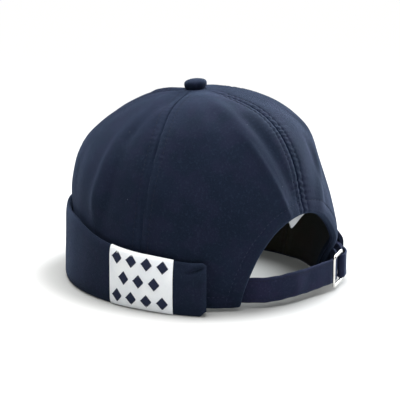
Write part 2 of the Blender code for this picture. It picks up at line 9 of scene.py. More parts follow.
import bpy
import numpy as np
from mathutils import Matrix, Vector


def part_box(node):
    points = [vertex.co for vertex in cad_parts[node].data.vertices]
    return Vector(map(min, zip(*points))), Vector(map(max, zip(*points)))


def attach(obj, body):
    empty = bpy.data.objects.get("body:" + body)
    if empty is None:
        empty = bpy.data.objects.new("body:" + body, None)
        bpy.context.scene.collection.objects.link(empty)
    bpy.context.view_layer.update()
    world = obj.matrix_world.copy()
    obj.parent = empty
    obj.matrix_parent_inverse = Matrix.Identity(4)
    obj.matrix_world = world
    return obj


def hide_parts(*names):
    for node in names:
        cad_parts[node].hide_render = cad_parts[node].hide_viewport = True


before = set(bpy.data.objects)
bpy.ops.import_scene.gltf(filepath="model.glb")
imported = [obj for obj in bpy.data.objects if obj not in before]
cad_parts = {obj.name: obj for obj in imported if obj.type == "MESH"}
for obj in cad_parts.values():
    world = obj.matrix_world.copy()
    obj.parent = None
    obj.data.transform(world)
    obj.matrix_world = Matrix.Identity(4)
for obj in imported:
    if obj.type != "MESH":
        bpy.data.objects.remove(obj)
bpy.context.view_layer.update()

# Crown
HALF_WIDTH = 0.0872
FRONT_LENGTH = 0.1000
BACK_LENGTH = 0.0962
CROWN_HEIGHT = 0.1390
CROWN_WALL = 0.0018
RIM_LIFT = 0.0020
TOP_LEAN = -0.0050
SEAM_GAP = 0.00003
SEAM_DIP = 0.0012
SEAM_DIP_REACH = 0.0065
SEAM_DRIFT_RISE = 62.0
LEAN_POWER = 6
LEAST_RADIUS = 0.004
RIDGE_HEIGHT = 0.0017
RIDGE_REACH = 0.0080
RIDGE_FADE = 0.15
BUTTON_CALM = 10.0
HOLE_RISE = 88.6

# Needlework on the crown
GROOVE_DEPTH = 0.0011
GROOVE_REACH = 0.0005
TOPSTITCH_OFFSET = 0.0055
TRACK_DEPTH = 0.00028
TRACK_REACH = 0.0008
PUFF_HEIGHT = 0.00040
PUCKER_HEIGHT = 0.00036
PUCKER_PITCH = 0.0056
PUCKER_REACH = 0.0085
PUCKER_WANDER = 1.7
# How fast the puckers wander along a seam and turn away from it, in radians to the metre
WANDER_RATES = (97.0, 231.0)
PUCKER_TURN_RATE = 260.0
HEM_WIDTH = 0.0085

# How the crown's cloth is rubbed paler, from 0 to 1, and how far from the line
SEAM_WEAR = 0.20
SEAM_WEAR_REACH = 0.0012
HEM_WEAR = 0.90
HEM_WEAR_REACH = 0.0013
RIDGE_WEAR = 0.25

# Arch at the back
ARCH_HALF_WIDTH = 0.0460
ARCH_HEIGHT = 0.0620
ARCH_FULLNESS = 2.3
FACING_WIDTH = 0.0090
FACING_WALL = 0.0010
FACING_CLEARANCE = 0.0012
FACING_ROLL = 0.0003

# Button
BUTTON_RADIUS = 0.0082
BUTTON_HEIGHT = 0.0062
BUTTON_CLEARANCE = 0.0008
BUTTON_LEAN = 3.5
BUTTON_PLEATS = 17
BUTTON_PLEAT_SHARE = 0.018
BUTTON_PLEAT_START = 0.62
BUTTON_UNEVENNESS = 0.0001

# Cuff and its patch
CUFF_END = 49.0
CUFF_HEIGHT = 0.0560
CUFF_STAND_OFF = 0.0056
CUFF_WALL = 0.0040
CUFF_ROUND = 0.0060
CUFF_LIP = 0.0026
CUFF_LIP_ROUND = 0.0014
CUFF_CLEARANCE = 0.0005
CUFF_CORNER = 0.0040
CUFF_CORNER_LIFT = 0.0032
CREASE_TOP = 0.0022
CREASE_SLANT = 0.48
CREASE_LENGTH = 0.0140
CREASE_DEPTH = 0.0015
CREASE_REACH = 0.0012
CREASE_START = 0.0030
CREASE_FADE = 0.0060
CREASE_ROLL_DROP = 0.0026
CREASE_ROLL_REACH = 0.0020
CUFF_END_ROLL = 0.0008
CUFF_END_REACH = 0.0014
CUFF_HEM_DROP = 0.0042
CUFF_HEM_DEPTH = 0.0001
CUFF_HEM_REACH = 0.0007
CUFF_SLACK = 0.0016
CUFF_SLACK_ANGLE = 142.0
CUFF_SLACK_TURN = 52.0
CUFF_SLACK_LEVEL = 0.0080
CUFF_SLACK_REACH = 0.0260
LEFT_FLARE_TOP = 0.0012
LEFT_FLARE_FOOT = 0.0040
RIGHT_FLARE_TOP = 0.0050
RIGHT_FLARE_FOOT = 0.0110
FLARE_REACH = 30.0
PATCH_FROM = 62.0
PATCH_TO = 90.5
PATCH_WALL = 0.0007
PATCH_CLEARANCE = 0.0004
PATCH_LOW_SHARE = 0.030
PATCH_HIGH_SHARE = 0.945
PATCH_EDGE = 0.0012
PATCH_EDGE_ROLL = 0.00035
PATCH_EDGE_REACH = 0.0006
PATCH_TRACK_DEPTH = 0.00012
PATCH_TRACK_REACH = 0.0004
PATCH_WEAR_REACH = 0.0005
LOZENGE_COLUMNS = 4
LOZENGE_ROWS = 3
LOZENGE_WIDTH = 0.0084
LOZENGE_HEIGHT = 0.0104

# Strap, loop and buckle
STRAP_WIDTH = 0.0175
STRAP_WALL = 0.0020
STRAP_SWING = 0.0066
STRAP_LIFT = 0.0056
STRAP_CLEARANCE = 0.0010
STRAP_STITCH_INSET = 0.0021
STRAP_TRACK_DEPTH = 0.00022
STRAP_TRACK_REACH = 0.0005
STRAP_THREAD_SINK = 0.00012
STRAP_EDGE_BEAD = 0.00016
STRAP_BEAD_INSET = 0.0010
STRAP_BEAD_REACH = 0.0007
STRAP_WEAR_REACH = 0.0007
STRAP_RIPPLE = 0.00016
STRAP_SWAY = 0.00022
STRAP_FINE_SWAY = 0.00012
# The strap's waves, in radians to the metre
STRAP_RIPPLE_RATE = 310.0
STRAP_SWAY_RATE = 190.0
STRAP_FINE_SWAY_RATE = 520.0
LOOP_WALL = 0.0012
LOOP_GAP = 0.0004
LOOP_CLEARANCE = 0.0008
LOOP_SEWN_DEPTH = 4.5
LOOP_DRAW_IN = 0.0010
BUCKLE_LENGTH = 0.0220
BUCKLE_WIRE = 0.0011
BUCKLE_RAIL_SHARE = 1.25
BAR_SHARE = 0.55
RAIL_SHARE = 1.38
BUCKLE_CORNER = 0.0032
BUCKLE_CLEARANCE = 0.0004
NEAR_BAR_PLACE = -0.563
FAR_BAR_PLACE = -0.922

# Label inside
LABEL_WIDTH = 0.0160
LABEL_LENGTH = 0.0240
LABEL_WALL = 0.0005
LABEL_ANGLE = 3.0
LABEL_TILT = 30.0
LABEL_SAG = 0.0018
LABEL_CURL = 0.0005
LABEL_CROSS_CURL = 0.0003
LABEL_FOLD = 0.00025
LABEL_FOLD_SHARE = 0.40
LABEL_FOLD_REACH = 0.0006

# Thread
STITCH_LENGTH = 0.0021
STITCH_PITCH = 0.0033
PATCH_STITCH_LENGTH = 0.0019
PATCH_STITCH_PITCH = 0.0024
STRAP_STITCH_LENGTH = 0.0024
STRAP_STITCH_PITCH = 0.0030
SATIN_PITCH = 0.00050
SATIN_OVERLAP = 0.0002
THREAD_RADIUS = 0.00020
PATCH_THREAD_RADIUS = 0.00017
STRAP_THREAD_RADIUS = 0.00018
SATIN_THREAD_RADIUS = 0.00030
THREAD_BOW = 0.00012
FINE_THREAD_BOW = 0.00008
SATIN_BOW = 0.00042
# Where the rows along the seams start above the arch and the rim, and the rise at which they end
SEAM_ROW_ABOVE_ARCH = 0.001
SEAM_ROW_ABOVE_RIM = 0.002
SEAM_ROW_TOP = 83.0
# How far past the arch's foot and the cuff's end the row along the rim starts and ends, in degrees
RIM_ROW_PAST_FOOT = 6.5
RIM_ROW_PAST_CUFF_END = 4.0

# Rises, and the oval's shares there at the back and at the front
CROWN_PROFILE = np.array([
    (0, 0.950, 0.925), (10, 1.000, 0.985), (22, 1.010, 1.010), (35, 0.955, 0.985), (48, 0.862, 0.865),
    (60, 0.742, 0.655), (71, 0.555, 0.430), (81, 0.305, 0.225), (90, 0.000, 0.000),
])
# Each seam's angle at the button and at the rim
SEAMS = [(0.0, 0.0), (73.5, 79.0), (147.0, 147.0), (213.0, 213.0), (286.5, 281.0), (360.0, 360.0)]
# Soft ridges: high rise, low rise, high angle, low angle, share of the reach, share of the height
RIDGES = [
    (80, 28, 35.0, 12.0, 0.88, 1.00), (78, 22, 84.0, 105.0, 1.00, 1.00), (76, 28, -52.0, -15.0, 0.88, 1.00),
    (78, 22, -84.0, -105.0, 1.00, 0.88), (74, 34, 172.0, 178.0, 1.38, 0.53),
]
# Finer folds in the same columns. A negative height is a valley. The last two draw the cloth in
# before the front panel's left seam and lift it behind that seam.
FOLDS = [
    (86, 52, 78.5, 93.5, 0.60, -1.05), (89, 66, -76.0, -76.0, 2.00, 1.20),
    (84, 44, -80.0, -97.0, 0.80, -0.45), (60, 27, 29.5, 11.0, 0.36, 0.68),
    (66, 30, 19.0, 5.0, 0.75, -0.80), (84, 58, 51.0, 47.0, 0.80, 0.30),
    (64, 24, -35.5, -31.0, 0.42, 0.50), (54, 26, -22.0, -20.0, 0.50, -0.35),
    (60, 22, 54.0, 61.0, 1.30, -0.35), (70, 30, 128.0, 122.0, 0.90, -0.35),
    (66, 30, -124.0, -130.0, 0.90, -0.35), (56, 24, 99.5, 103.5, 0.42, 0.50),
    (58, 25, 91.5, 96.5, 0.60, -0.75), (58, 26, -62.0, -66.0, 0.70, 0.25),
    (86, 62, 108.0, 136.0, 0.50, 0.35), (89, 56, 143.0, 145.0, 0.50, -1.25),
    (89, 74, 168.0, 165.0, 0.55, 0.75),
]
# Places where the cloth stands out: angle, level, reach round, reach above, reach below, height.
# The first is pulled out by the buckle beside the arch's right foot.
SWELLS = [
    (-32.0, 0.0360, 0.0215, 0.0230, 0.0125, 0.0056), (138.0, 0.0900, 0.0700, 0.0360, 0.0280, 0.0013),
    (138.0, 0.0500, 0.0700, 0.0120, 0.0300, -0.0014),
]
# How strongly the cloth is drawn in at each seam: puffs, stitch tracks and puckers
SEAM_WORK = [(0.85, 1.20, 0.85), (0.35, 0.25, 0.35), (0.70, 0.60, 0.70), (0.70, 0.60, 0.70),
             (0.60, 0.60, 0.70)]
# Shallow waves that keep the cloth from looking moulded: direction, wave length, height, phase
SLUMP_WAVES = [
    ((0.9, 0.3, 0.3), 0.061, 0.00034, 0.4), ((-0.3, 0.8, 0.5), 0.047, 0.00030, 2.1),
    ((0.5, -0.7, 0.5), 0.038, 0.00024, 4.0), ((0.1, 0.4, 0.9), 0.031, 0.00018, 1.3),
    ((0.8, 0.6, -0.1), 0.023, 0.00011, 5.2), ((-0.6, 0.5, 0.6), 0.017, 0.00007, 0.9),
]
# The button's profile: shares of its radius and of half its height
BUTTON_ROWS = [(0.00, 2.00), (0.42, 1.96), (0.72, 1.80), (0.91, 1.50), (1.00, 1.02), (0.97, 0.30),
               (0.82, -0.36)]
# The cuff's height by the angle from the back
CUFF_HEIGHTS = np.array([
    (50, 0.643), (70, 0.693), (88, 0.729), (100, 0.795), (112, 0.902), (126, 0.968), (150, 0.991),
    (180, 1.000),
])
# The cuff's section: a share of its height, a share of its rounding and a share of its wall
CUFF_FACE = [(0.00, 0.00, 0.600), (0.00, 0.27, 0.150), (0.00, 1.00, 0.000), (0.45, 0.00, 0.000),
             (1.00, -1.00, 0.075), (1.00, -0.30, 0.275), (1.00, 0.00, 0.500), (1.00, -0.20, 0.750)]
CUFF_BACK = [(1.00, -0.92, 1.000), (0.62, 0.00, 1.000), (0.34, 0.00, 1.000)]
# The strap: place, share of its swing, share of its tuck, share of its lift
STRAP_ROWS = np.array([
    (1.40, 0.00, 1.00, 0.64), (1.14, 0.00, 1.00, 0.66), (0.96, 0.00, 0.92, 0.68),
    (0.75, 0.00, 0.51, 0.73), (0.48, 0.00, 0.31, 0.80), (0.18, 0.00, 0.18, 0.88),
    (-0.12, 0.00, 0.10, 0.93), (-0.30, 0.18, 0.00, 0.98), (-0.43, 0.52, 0.00, 1.00),
    (-0.57, 0.82, 0.00, 1.00), (-0.75, 1.00, 0.00, 1.00), (-0.93, 0.94, 0.00, 1.00),
    (-1.11, 0.70, 0.00, 1.00),
])[::-1]

# Where the middle of the crown's oval lies in the frame, read from the cuff's front and left side
CUFF_LOW, CUFF_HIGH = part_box("cuff")
CAP_PLACE = np.array([
    CUFF_HIGH.x - HALF_WIDTH - CUFF_STAND_OFF, CUFF_LOW.y + FRONT_LENGTH + CUFF_STAND_OFF, 0.0])


# Shapes

def curve_through(stations, values, where):
    """A smooth curve through a short table's values, read at many places."""
    stations, values = np.asarray(stations, float), np.asarray(values, float)
    slopes = np.gradient(values, stations)
    i = np.clip(np.searchsorted(stations, where, side="right") - 1, 0, len(stations) - 2)
    step = stations[i + 1] - stations[i]
    t = np.clip((where - stations[i]) / step, 0.0, 1.0)
    stay = 2 * t ** 3 - 3 * t ** 2 + 1
    leave, arrive = t ** 3 - 2 * t ** 2 + t, t ** 3 - t ** 2
    return (stay * values[i] + leave * step * slopes[i]
            + (1 - stay) * values[i + 1] + arrive * step * slopes[i + 1])


def ease(t):
    t = np.clip(t, 0.0, 1.0)
    return t * t * (3 - 2 * t)


def bell(distance, reach):
    return np.exp(-(distance / reach) ** 2)


def turn_between(a, b):
    """The signed turn from angle b to angle a, in degrees."""
    return (a - b + 180.0) % 360.0 - 180.0


def unit(vectors):
    return vectors / np.maximum(np.linalg.norm(vectors, axis=-1, keepdims=True), 1e-12)


def rise_at(height):
    return np.degrees(np.arcsin(np.clip(height / CROWN_HEIGHT, 0.0, 1.0)))


def crown_share(angle, rise):
    back = curve_through(CROWN_PROFILE[:, 0], CROWN_PROFILE[:, 1], rise)
    front = curve_through(CROWN_PROFILE[:, 0], CROWN_PROFILE[:, 2], rise)
    backness = ease((1 + np.cos(np.radians(angle))) / 2)
    return back * backness + front * (1 - backness)


def oval_point(angle, beyond, height, share=1.0):
    """Points at angles round the cap's oval plan, beyond it by a length, in the frame."""
    turn = np.radians(angle)
    length = np.where(np.cos(turn) > 0, BACK_LENGTH, FRONT_LENGTH)
    x = (HALF_WIDTH * share + beyond) * np.sin(turn)
    y = (length * share + beyond) * np.cos(turn)
    return np.stack(np.broadcast_arrays(x, y, height), axis=-1) + CAP_PLACE


def smooth_crown(angle, rise):
    """The crown without its seams and ridges."""
    up = np.sin(np.radians(rise))
    points = oval_point(angle, 0.0, CROWN_HEIGHT * up, crown_share(angle, rise))
    points[..., 1] += TOP_LEAN * up ** LEAN_POWER
    return points


def crown_normal(angle, rise, step=0.25):
    around = smooth_crown(angle + step, rise) - smooth_crown(angle - step, rise)
    above, below = np.minimum(rise + step, 89.9), np.maximum(rise - step, 0.0)
    return unit(np.cross(smooth_crown(angle, above) - smooth_crown(angle, below), around))


def crown_radius(angle, rise):
    points = smooth_crown(angle, rise) - CAP_PLACE
    lean = TOP_LEAN * np.sin(np.radians(rise)) ** LEAN_POWER
    return np.hypot(points[..., 0], points[..., 1] - lean)


def seam_angle(seam, rise):
    top_angle, rim_angle = seam
    return rim_angle + (top_angle - rim_angle) * ease(rise / SEAM_DRIFT_RISE)


def relief(angle, rise):
    """The seams' broad dips, the soft ridges and folds, and the places where the cloth stands out."""
    radius = crown_radius(angle, rise)
    out = np.zeros(np.broadcast(angle, rise).shape)
    for seam in SEAMS[:-1]:
        arc = np.radians(turn_between(angle, seam_angle(seam, rise))) * radius
        out -= SEAM_DIP * bell(arc, SEAM_DIP_REACH)
    for high_rise, low_rise, high_angle, low_angle, reach_share, height_share in RIDGES + FOLDS:
        along = (rise - low_rise) / (high_rise - low_rise)
        arc = np.radians(turn_between(angle, low_angle + (high_angle - low_angle) * along)) * radius
        fade = ease((along / RIDGE_FADE + 1) / 2) * ease(((1 - along) / RIDGE_FADE + 1) / 3)
        out += RIDGE_HEIGHT * height_share * fade * bell(arc, RIDGE_REACH * reach_share)
    for middle, level, reach_round, reach_above, reach_below, height in SWELLS:
        arc = np.radians(turn_between(angle, middle)) * radius
        above = CROWN_HEIGHT * np.sin(np.radians(rise)) - level
        out += height * bell(arc, reach_round) * bell(above, np.where(above > 0, reach_above, reach_below))
    return out * ease((90.0 - rise) / BUTTON_CALM)


def arch_distance(angle, rise):
    """How far a point of the crown lies from the arch's edge, negative where the arch is open."""
    across = np.abs(HALF_WIDTH * crown_share(angle, rise) * np.sin(np.radians(angle)))
    height = CROWN_HEIGHT * np.sin(np.radians(rise))
    up = np.maximum(height - RIM_LIFT, 0.0)
    wide, tall = across / ARCH_HALF_WIDTH, up / (ARCH_HEIGHT - RIM_LIFT)
    ratio = np.maximum((wide ** ARCH_FULLNESS + tall ** ARCH_FULLNESS) ** (1 / ARCH_FULLNESS), 1e-6)
    distance = np.hypot(across, up) * (1 - 1 / ratio)
    return np.where(np.cos(np.radians(angle)) > 0, distance, 1.0)


def needlework(angle, rise):
    """What the sewing does to the cloth: grooves at seams and hems, tracks under stitches, and puckers."""
    radius = crown_radius(angle, rise)
    along = np.radians(rise) * CROWN_HEIGHT
    out = np.zeros(np.broadcast(angle, rise).shape)
    for number, (seam, (puff, track, draw)) in enumerate(zip(SEAMS, SEAM_WORK)):
        arc = np.abs(np.radians(turn_between(angle, seam_angle(seam, rise))) * radius)
        slow, fast = along * WANDER_RATES[0], along * WANDER_RATES[1]
        wander = np.sin(slow + number * 2.3) + 0.6 * np.sin(fast + number)
        pucker = np.sin(along * math.tau / PUCKER_PITCH + PUCKER_WANDER * wander + arc * PUCKER_TURN_RATE)
        swell = bell(arc, PUCKER_REACH) * (1 - bell(arc, TOPSTITCH_OFFSET * 0.3))
        out -= GROOVE_DEPTH * bell(arc, GROOVE_REACH)
        padding = bell(arc - TOPSTITCH_OFFSET * 0.5, TOPSTITCH_OFFSET * 0.32)
        out += puff * PUFF_HEIGHT * padding * (1 + 0.4 * pucker)
        out -= track * TRACK_DEPTH * bell(arc - TOPSTITCH_OFFSET, TRACK_REACH)
        out += draw * PUCKER_HEIGHT * pucker * swell * (0.65 + 0.35 * wander)
    edge = arch_distance(angle, rise)
    rim = CROWN_HEIGHT * np.sin(np.radians(rise)) - RIM_LIFT
    for distance in (edge, rim):
        out -= GROOVE_DEPTH * bell(distance, GROOVE_REACH)
        out += PUFF_HEIGHT * bell(distance - HEM_WIDTH * 0.5, HEM_WIDTH * 0.32)
        out -= TRACK_DEPTH * bell(distance - HEM_WIDTH, TRACK_REACH)
    return out * ease((HOLE_RISE - rise) / BUTTON_CALM)


def slump(points):
    """Shallow waves of the cloth over the whole crown and cuff."""
    out = np.zeros(points.shape[:-1])
    for direction, length, height, phase in SLUMP_WAVES:
        out += height * np.sin(points @ np.array(direction) * math.tau / length + phase)
    return out


def crown_point(angle, rise, beyond=0.0, sewn=True):
    """Points on the crown's cloth, with all its relief."""
    points, normal = smooth_crown(angle, rise), crown_normal(angle, rise)
    calm = ease((90.0 - rise) / BUTTON_CALM)
    out = relief(angle, rise) + slump(points) * calm + beyond
    if sewn:
        out = out + needlework(angle, rise)
    return points + normal * out[..., None]


def arch_place(turn, wider=0.0):
    """Angles and rises of points on the arch. A turn of 0 is its top, 90 and -90 are its feet."""
    turn = np.asarray(turn, float)
    across = np.abs(np.sin(np.radians(turn))) ** (2 / ARCH_FULLNESS)
    upward = np.abs(np.cos(np.radians(turn))) ** (2 / ARCH_FULLNESS)
    rise = rise_at(RIM_LIFT + (ARCH_HEIGHT + wider - RIM_LIFT) * upward)
    angle = np.zeros_like(turn)
    for _ in range(5):
        reach = HALF_WIDTH * crown_share(angle, rise)
        angle = np.degrees(np.arcsin(np.minimum((ARCH_HALF_WIDTH + wider) * across / reach, 1.0)))
    return np.copysign(angle, turn), rise


FOOT_ANGLE = float(arch_place(90.0)[0])


# Meshes

def grid_faces(row_count, column_count, first=0, inward=False, closed=False):
    """Quads over a grid of points. Rows go up and columns go round clockwise, seen from above."""
    r, c = np.mgrid[:row_count - 1, :column_count - (0 if closed else 1)]
    after = (c + 1) % column_count
    here, above = r * column_count, (r + 1) * column_count
    corners = [here + c, above + c, above + after, here + after]
    faces = np.stack([corner.ravel() for corner in corners], axis=1) + first
    return faces[:, ::-1] if inward else faces


def shell(outer, inner):
    """A closed wall between two grids, with a strip round its border. Also each point's place in the grid."""
    rows, columns = outer.shape[:2]
    count = rows * columns
    border = [(0, c) for c in range(columns)] + [(r, columns - 1) for r in range(1, rows)]
    border += [(rows - 1, c) for c in range(columns - 2, -1, -1)] + [(r, 0) for r in range(rows - 2, 0, -1)]
    ring = np.array([r * columns + c for r, c in border])
    following = np.roll(ring, -1)
    faces = [grid_faces(rows, columns), grid_faces(rows, columns, count, inward=True),
             np.stack([ring, following, following + count, ring + count], axis=1)[:, ::-1]]
    points = np.concatenate([outer.reshape(-1, 3), inner.reshape(-1, 3)])
    return points, np.concatenate(faces), np.tile(np.arange(count), 2)


def band(rings):
    """A closed solid through closed sections of equal point counts, with flat ends."""
    count, sides = rings.shape[:2]
    faces = grid_faces(count, sides, closed=True)
    ends = [list(range(sides))[::-1], [(count - 1) * sides + i for i in range(sides)]]
    return rings.reshape(-1, 3), faces, ends


def flat_places(across, along):
    """Each point's place on the flat cloth, from its two lengths over a grid."""
    return np.stack(np.broadcast_arrays(across, along), axis=-1).reshape(-1, 2)


def lengths_along(points):
    steps = np.linalg.norm(np.diff(points, axis=0), axis=-1)
    return np.concatenate([np.zeros((1,) + steps.shape[1:]), np.cumsum(steps, axis=0)])


def resample(points, places, along=None):
    """Values at given lengths along a line. They are its own points unless its lengths are given."""
    along = lengths_along(points) if along is None else along
    return np.stack([np.interp(places, along, points[:, i]) for i in range(points.shape[1])], axis=1)


SHARP_ANGLE = 45.0
CAP = bpy.data.collections.new("cap")
bpy.context.scene.collection.children.link(CAP)


def add_piece(name, points, faces, material, cloth=None, worn=None, node=None, ends=(), inside=None):
    """A mesh object of the cap. cloth holds each point's place on the flat cloth, and worn how rubbed it is.

    inside holds a second material and which faces have it.
    """
    mesh = bpy.data.meshes.new(name)
    mesh.from_pydata(points.tolist(), [], faces.tolist() + list(ends))
    mesh.update()
    if cloth is not None:
        layer = mesh.uv_layers.new(name="cloth")
        corner_points = np.zeros(len(mesh.loops), np.int32)
        mesh.loops.foreach_get("vertex_index", corner_points)
        layer.data.foreach_set("uv", np.asarray(cloth, np.float32)[corner_points].ravel())
    if worn is not None:
        attribute = mesh.attributes.new("worn", "FLOAT", "POINT")
        attribute.data.foreach_set("value", np.asarray(worn, np.float32).ravel())
    mesh.shade_smooth()
    mesh.set_sharp_from_angle(angle=math.radians(SHARP_ANGLE))
    mesh.materials.append(material)
    if inside is not None:
        mesh.materials.append(inside[0])
        places = np.zeros(len(mesh.polygons), np.int32)
        places[inside[1]] = 1
        mesh.polygons.foreach_set("material_index", places)
    made = bpy.data.objects.new(name, mesh)
    CAP.objects.link(made)
    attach(made, "root")
    if node:
        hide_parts(node)
    return made


# Materials

class Value:
    """An output of a material's nodes. Arithmetic on it adds Math nodes."""

    def __init__(self, finish, socket):
        self.finish = finish
        self.socket = socket

    def math(self, operation, *values):
        return self.finish.node("ShaderNodeMath", {"operation": operation}, dict(enumerate(values)))

    def __add__(self, other):
        return self.math("ADD", self, other)

    def __sub__(self, other):
        return self.math("SUBTRACT", self, other)

    def __rsub__(self, other):
        return self.math("SUBTRACT", other, self)

    def __mul__(self, other):
        return self.math("MULTIPLY", self, other)

    __radd__, __rmul__ = __add__, __mul__

    def wave(self, length):
        """A sine of this length, from -1 to 1."""
        return self.math("SINE", self * (math.tau / length))

    def between(self, low, high):
        """0 below low, 1 above high, and smooth between them."""
        return self.finish.node("ShaderNodeMapRange", {"interpolation_type": "SMOOTHSTEP"},
                                {"Value": self, "From Min": low, "From Max": high})


class Finish:
    """A material and the nodes that vary it over the surface."""

    def __init__(self, name, **constants):
        self.material = bpy.data.materials.new(name)
        self.material.use_nodes = True
        self.tree = self.material.node_tree
        self.shader = self.tree.nodes["Principled BSDF"]
        for socket, value in constants.items():
            self.shader.inputs[socket.replace("_", " ")].default_value = value

    def node(self, kind, settings=None, sockets=None, out=0):
        made = self.tree.nodes.new(kind)
        for name, value in (settings or {}).items():
            setattr(made, name, value)
        for name, value in (sockets or {}).items():
            if isinstance(value, Value):
                self.tree.links.new(value.socket, made.inputs[name])
            else:
                made.inputs[name].default_value = value
        return Value(self, made.outputs[out])

    def cloth(self):
        """The place on the flat cloth: along the weft, and along the warp."""
        place = self.node("ShaderNodeUVMap", {"uv_map": "cloth"})
        parts = self.node("ShaderNodeSeparateXYZ", sockets={0: place})
        return place, parts, Value(self, parts.socket.node.outputs[1])

    def place(self):
        return self.node("ShaderNodeTexCoord", out=3)

    def noise(self, where, scale, detail=2.0, roughness=0.55):
        return self.node("ShaderNodeTexNoise", sockets={
            "Vector": where, "Scale": scale, "Detail": detail, "Roughness": roughness})

    def scaled(self, where, factors):
        return self.node("ShaderNodeVectorMath", {"operation": "MULTIPLY"}, {0: where, 1: factors})

    def blend(self, share, first, second):
        """Two colours mixed by a share."""
        return self.node("ShaderNodeMix", {"data_type": "RGBA"}, {0: share, 6: first, 7: second}, out=2)

    def attribute(self, name):
        return self.node("ShaderNodeAttribute", {"attribute_name": name}, out=2)

    def finish(self, colour=None, roughness=None, height=None, depth=0.0002, strength=1.0):
        """Links what varies to the shader."""
        if height is not None:
            bump = self.node("ShaderNodeBump", sockets={
                "Height": height, "Distance": depth, "Strength": strength})
            self.tree.links.new(bump.socket, self.shader.inputs["Normal"])
        for value, socket in ((colour, "Base Color"), (roughness, "Roughness")):
            if value is not None:
                self.tree.links.new(value.socket, self.shader.inputs[socket])
        return self.material


def rgb(red, green, blue):
    return (red, green, blue, 1.0)


def twill(name, colour, rubbed, ground, slant=1.0, pitch=0.00085, lint=0.5):
    """Cotton twill: fine slanting ribs of warp yarn, slubs, a mottled dye and specks of lint."""
    cloth = Finish(name, Sheen_Weight=0.11, Sheen_Roughness=0.35, Sheen_Tint=rgb(0.40, 0.58, 1.00),
                   Specular_IOR_Level=0.09, Specular_Tint=rgb(0.62, 0.79, 1.00))
    flat, across, along = cloth.cloth()
    wobble = cloth.noise(flat, 160.0) * 0.0011
    slub = cloth.noise(cloth.scaled(flat, (2600.0, 120.0, 1.0)), 1.0, 1.0)
    rib = (across + along * slant + wobble).wave(pitch)
    yarn = (along - across * slant).wave(pitch * 1.35)
    weave = rib * (yarn * 0.22 + 0.78) * 0.5 + slub * 0.6
    mottle = cloth.noise(cloth.place(), 21.0, 3.0)
    heather = cloth.noise(flat, 1500.0, 1.0)
    grain = cloth.noise(cloth.place(), 620.0, 3.0, 0.7)
    tone = cloth.noise(cloth.place(), 70.0, 2.0)
    red, green, blue, _ = colour
    dyed = cloth.blend(mottle.between(0.35, 0.68), ground, colour)
    dyed = cloth.blend(tone.between(0.44, 0.62) * 0.6, dyed, rgb(red * 1.22, green * 0.92, blue))
    dyed = cloth.blend(grain.between(0.50, 0.72) * 0.30, dyed, rubbed)
    dyed = cloth.blend(heather.between(0.56, 0.75) * 0.22, dyed, rubbed)
    dyed = cloth.blend(cloth.attribute("worn") * 0.45, dyed, rubbed)
    cells = cloth.node("ShaderNodeTexVoronoi", {"feature": "F1"}, {"Vector": flat, "Scale": 95.0})
    chance = cloth.node("ShaderNodeSeparateColor",
                        sockets={0: Value(cloth, cells.socket.node.outputs["Color"])})
    speck = (1 - cells.between(0.012, 0.028)) * chance.between(0.90, 0.91)
    dyed = cloth.blend(speck * lint, dyed, rgb(0.34, 0.38, 0.44))
    rough = heather * 0.12 + 0.84
    return cloth.finish(dyed, rough, weave + grain * 1.4, depth=0.00022, strength=0.60)


def sewing_thread(name, colour, glint):
    """Twisted polyester thread."""
    thread = Finish(name, Specular_IOR_Level=0.12)
    twist = thread.noise(thread.place(), 3200.0, 1.0)
    shine = thread.blend(twist, colour, glint)
    return thread.finish(shine, twist * 0.2 + 0.48, twist, depth=0.00006, strength=0.6)


def woven_white():
    """The patch's close white weave, with fine ribs along it."""
    weave = Finish("woven_white", Sheen_Weight=0.12, Sheen_Roughness=0.4, Specular_IOR_Level=0.30)
    flat, across, along = weave.cloth()
    rib = across.wave(0.00070) * 0.5 + along.wave(0.00055) * 0.35
    mottle = weave.noise(flat, 55.0, 3.0)
    fibre = weave.noise(weave.scaled(flat, (3000.0, 500.0, 1.0)), 1.0, 1.0)
    colour = weave.blend(mottle.between(0.30, 0.70), rgb(0.76, 0.79, 0.82), rgb(0.84, 0.86, 0.87))
    colour = weave.blend(fibre.between(0.60, 0.80) * 0.35, colour, rgb(0.62, 0.65, 0.70))
    colour = weave.blend(weave.attribute("worn") * 0.4, colour, rgb(0.55, 0.58, 0.62))
    return weave.finish(colour, fibre * 0.15 + 0.62, rib + fibre * 0.5, depth=0.00014, strength=0.5)


def plain_tape():
    """The blank label's soft satin tape."""
    tape = Finish("plain_tape", Sheen_Weight=0.2, Specular_IOR_Level=0.35)
    flat, across, along = tape.cloth()
    rib = along.wave(0.00060) * 0.6 + across.wave(0.00045) * 0.3
    mottle = tape.noise(flat, 90.0, 2.0)
    colour = tape.blend(mottle, rgb(0.36, 0.38, 0.40), rgb(0.48, 0.50, 0.51))
    return tape.finish(colour, mottle * 0.1 + 0.6, rib, depth=0.00012, strength=0.5)


def nickel():
    """Nickel plate, bright with a trace of drag marks and a duller skin in places."""
    metal = Finish("bright_nickel", Metallic=1.0)
    where = metal.place()
    haze = metal.noise(where, 240.0, 3.0)
    drag = metal.noise(metal.scaled(where, (900.0, 900.0, 5200.0)), 1.0, 2.0)
    colour = metal.blend(haze.between(0.40, 0.70), rgb(0.80, 0.79, 0.76), rgb(0.66, 0.65, 0.62))
    return metal.finish(colour, haze * 0.16 + 0.13, drag + haze * 0.4, depth=0.00003, strength=0.5)


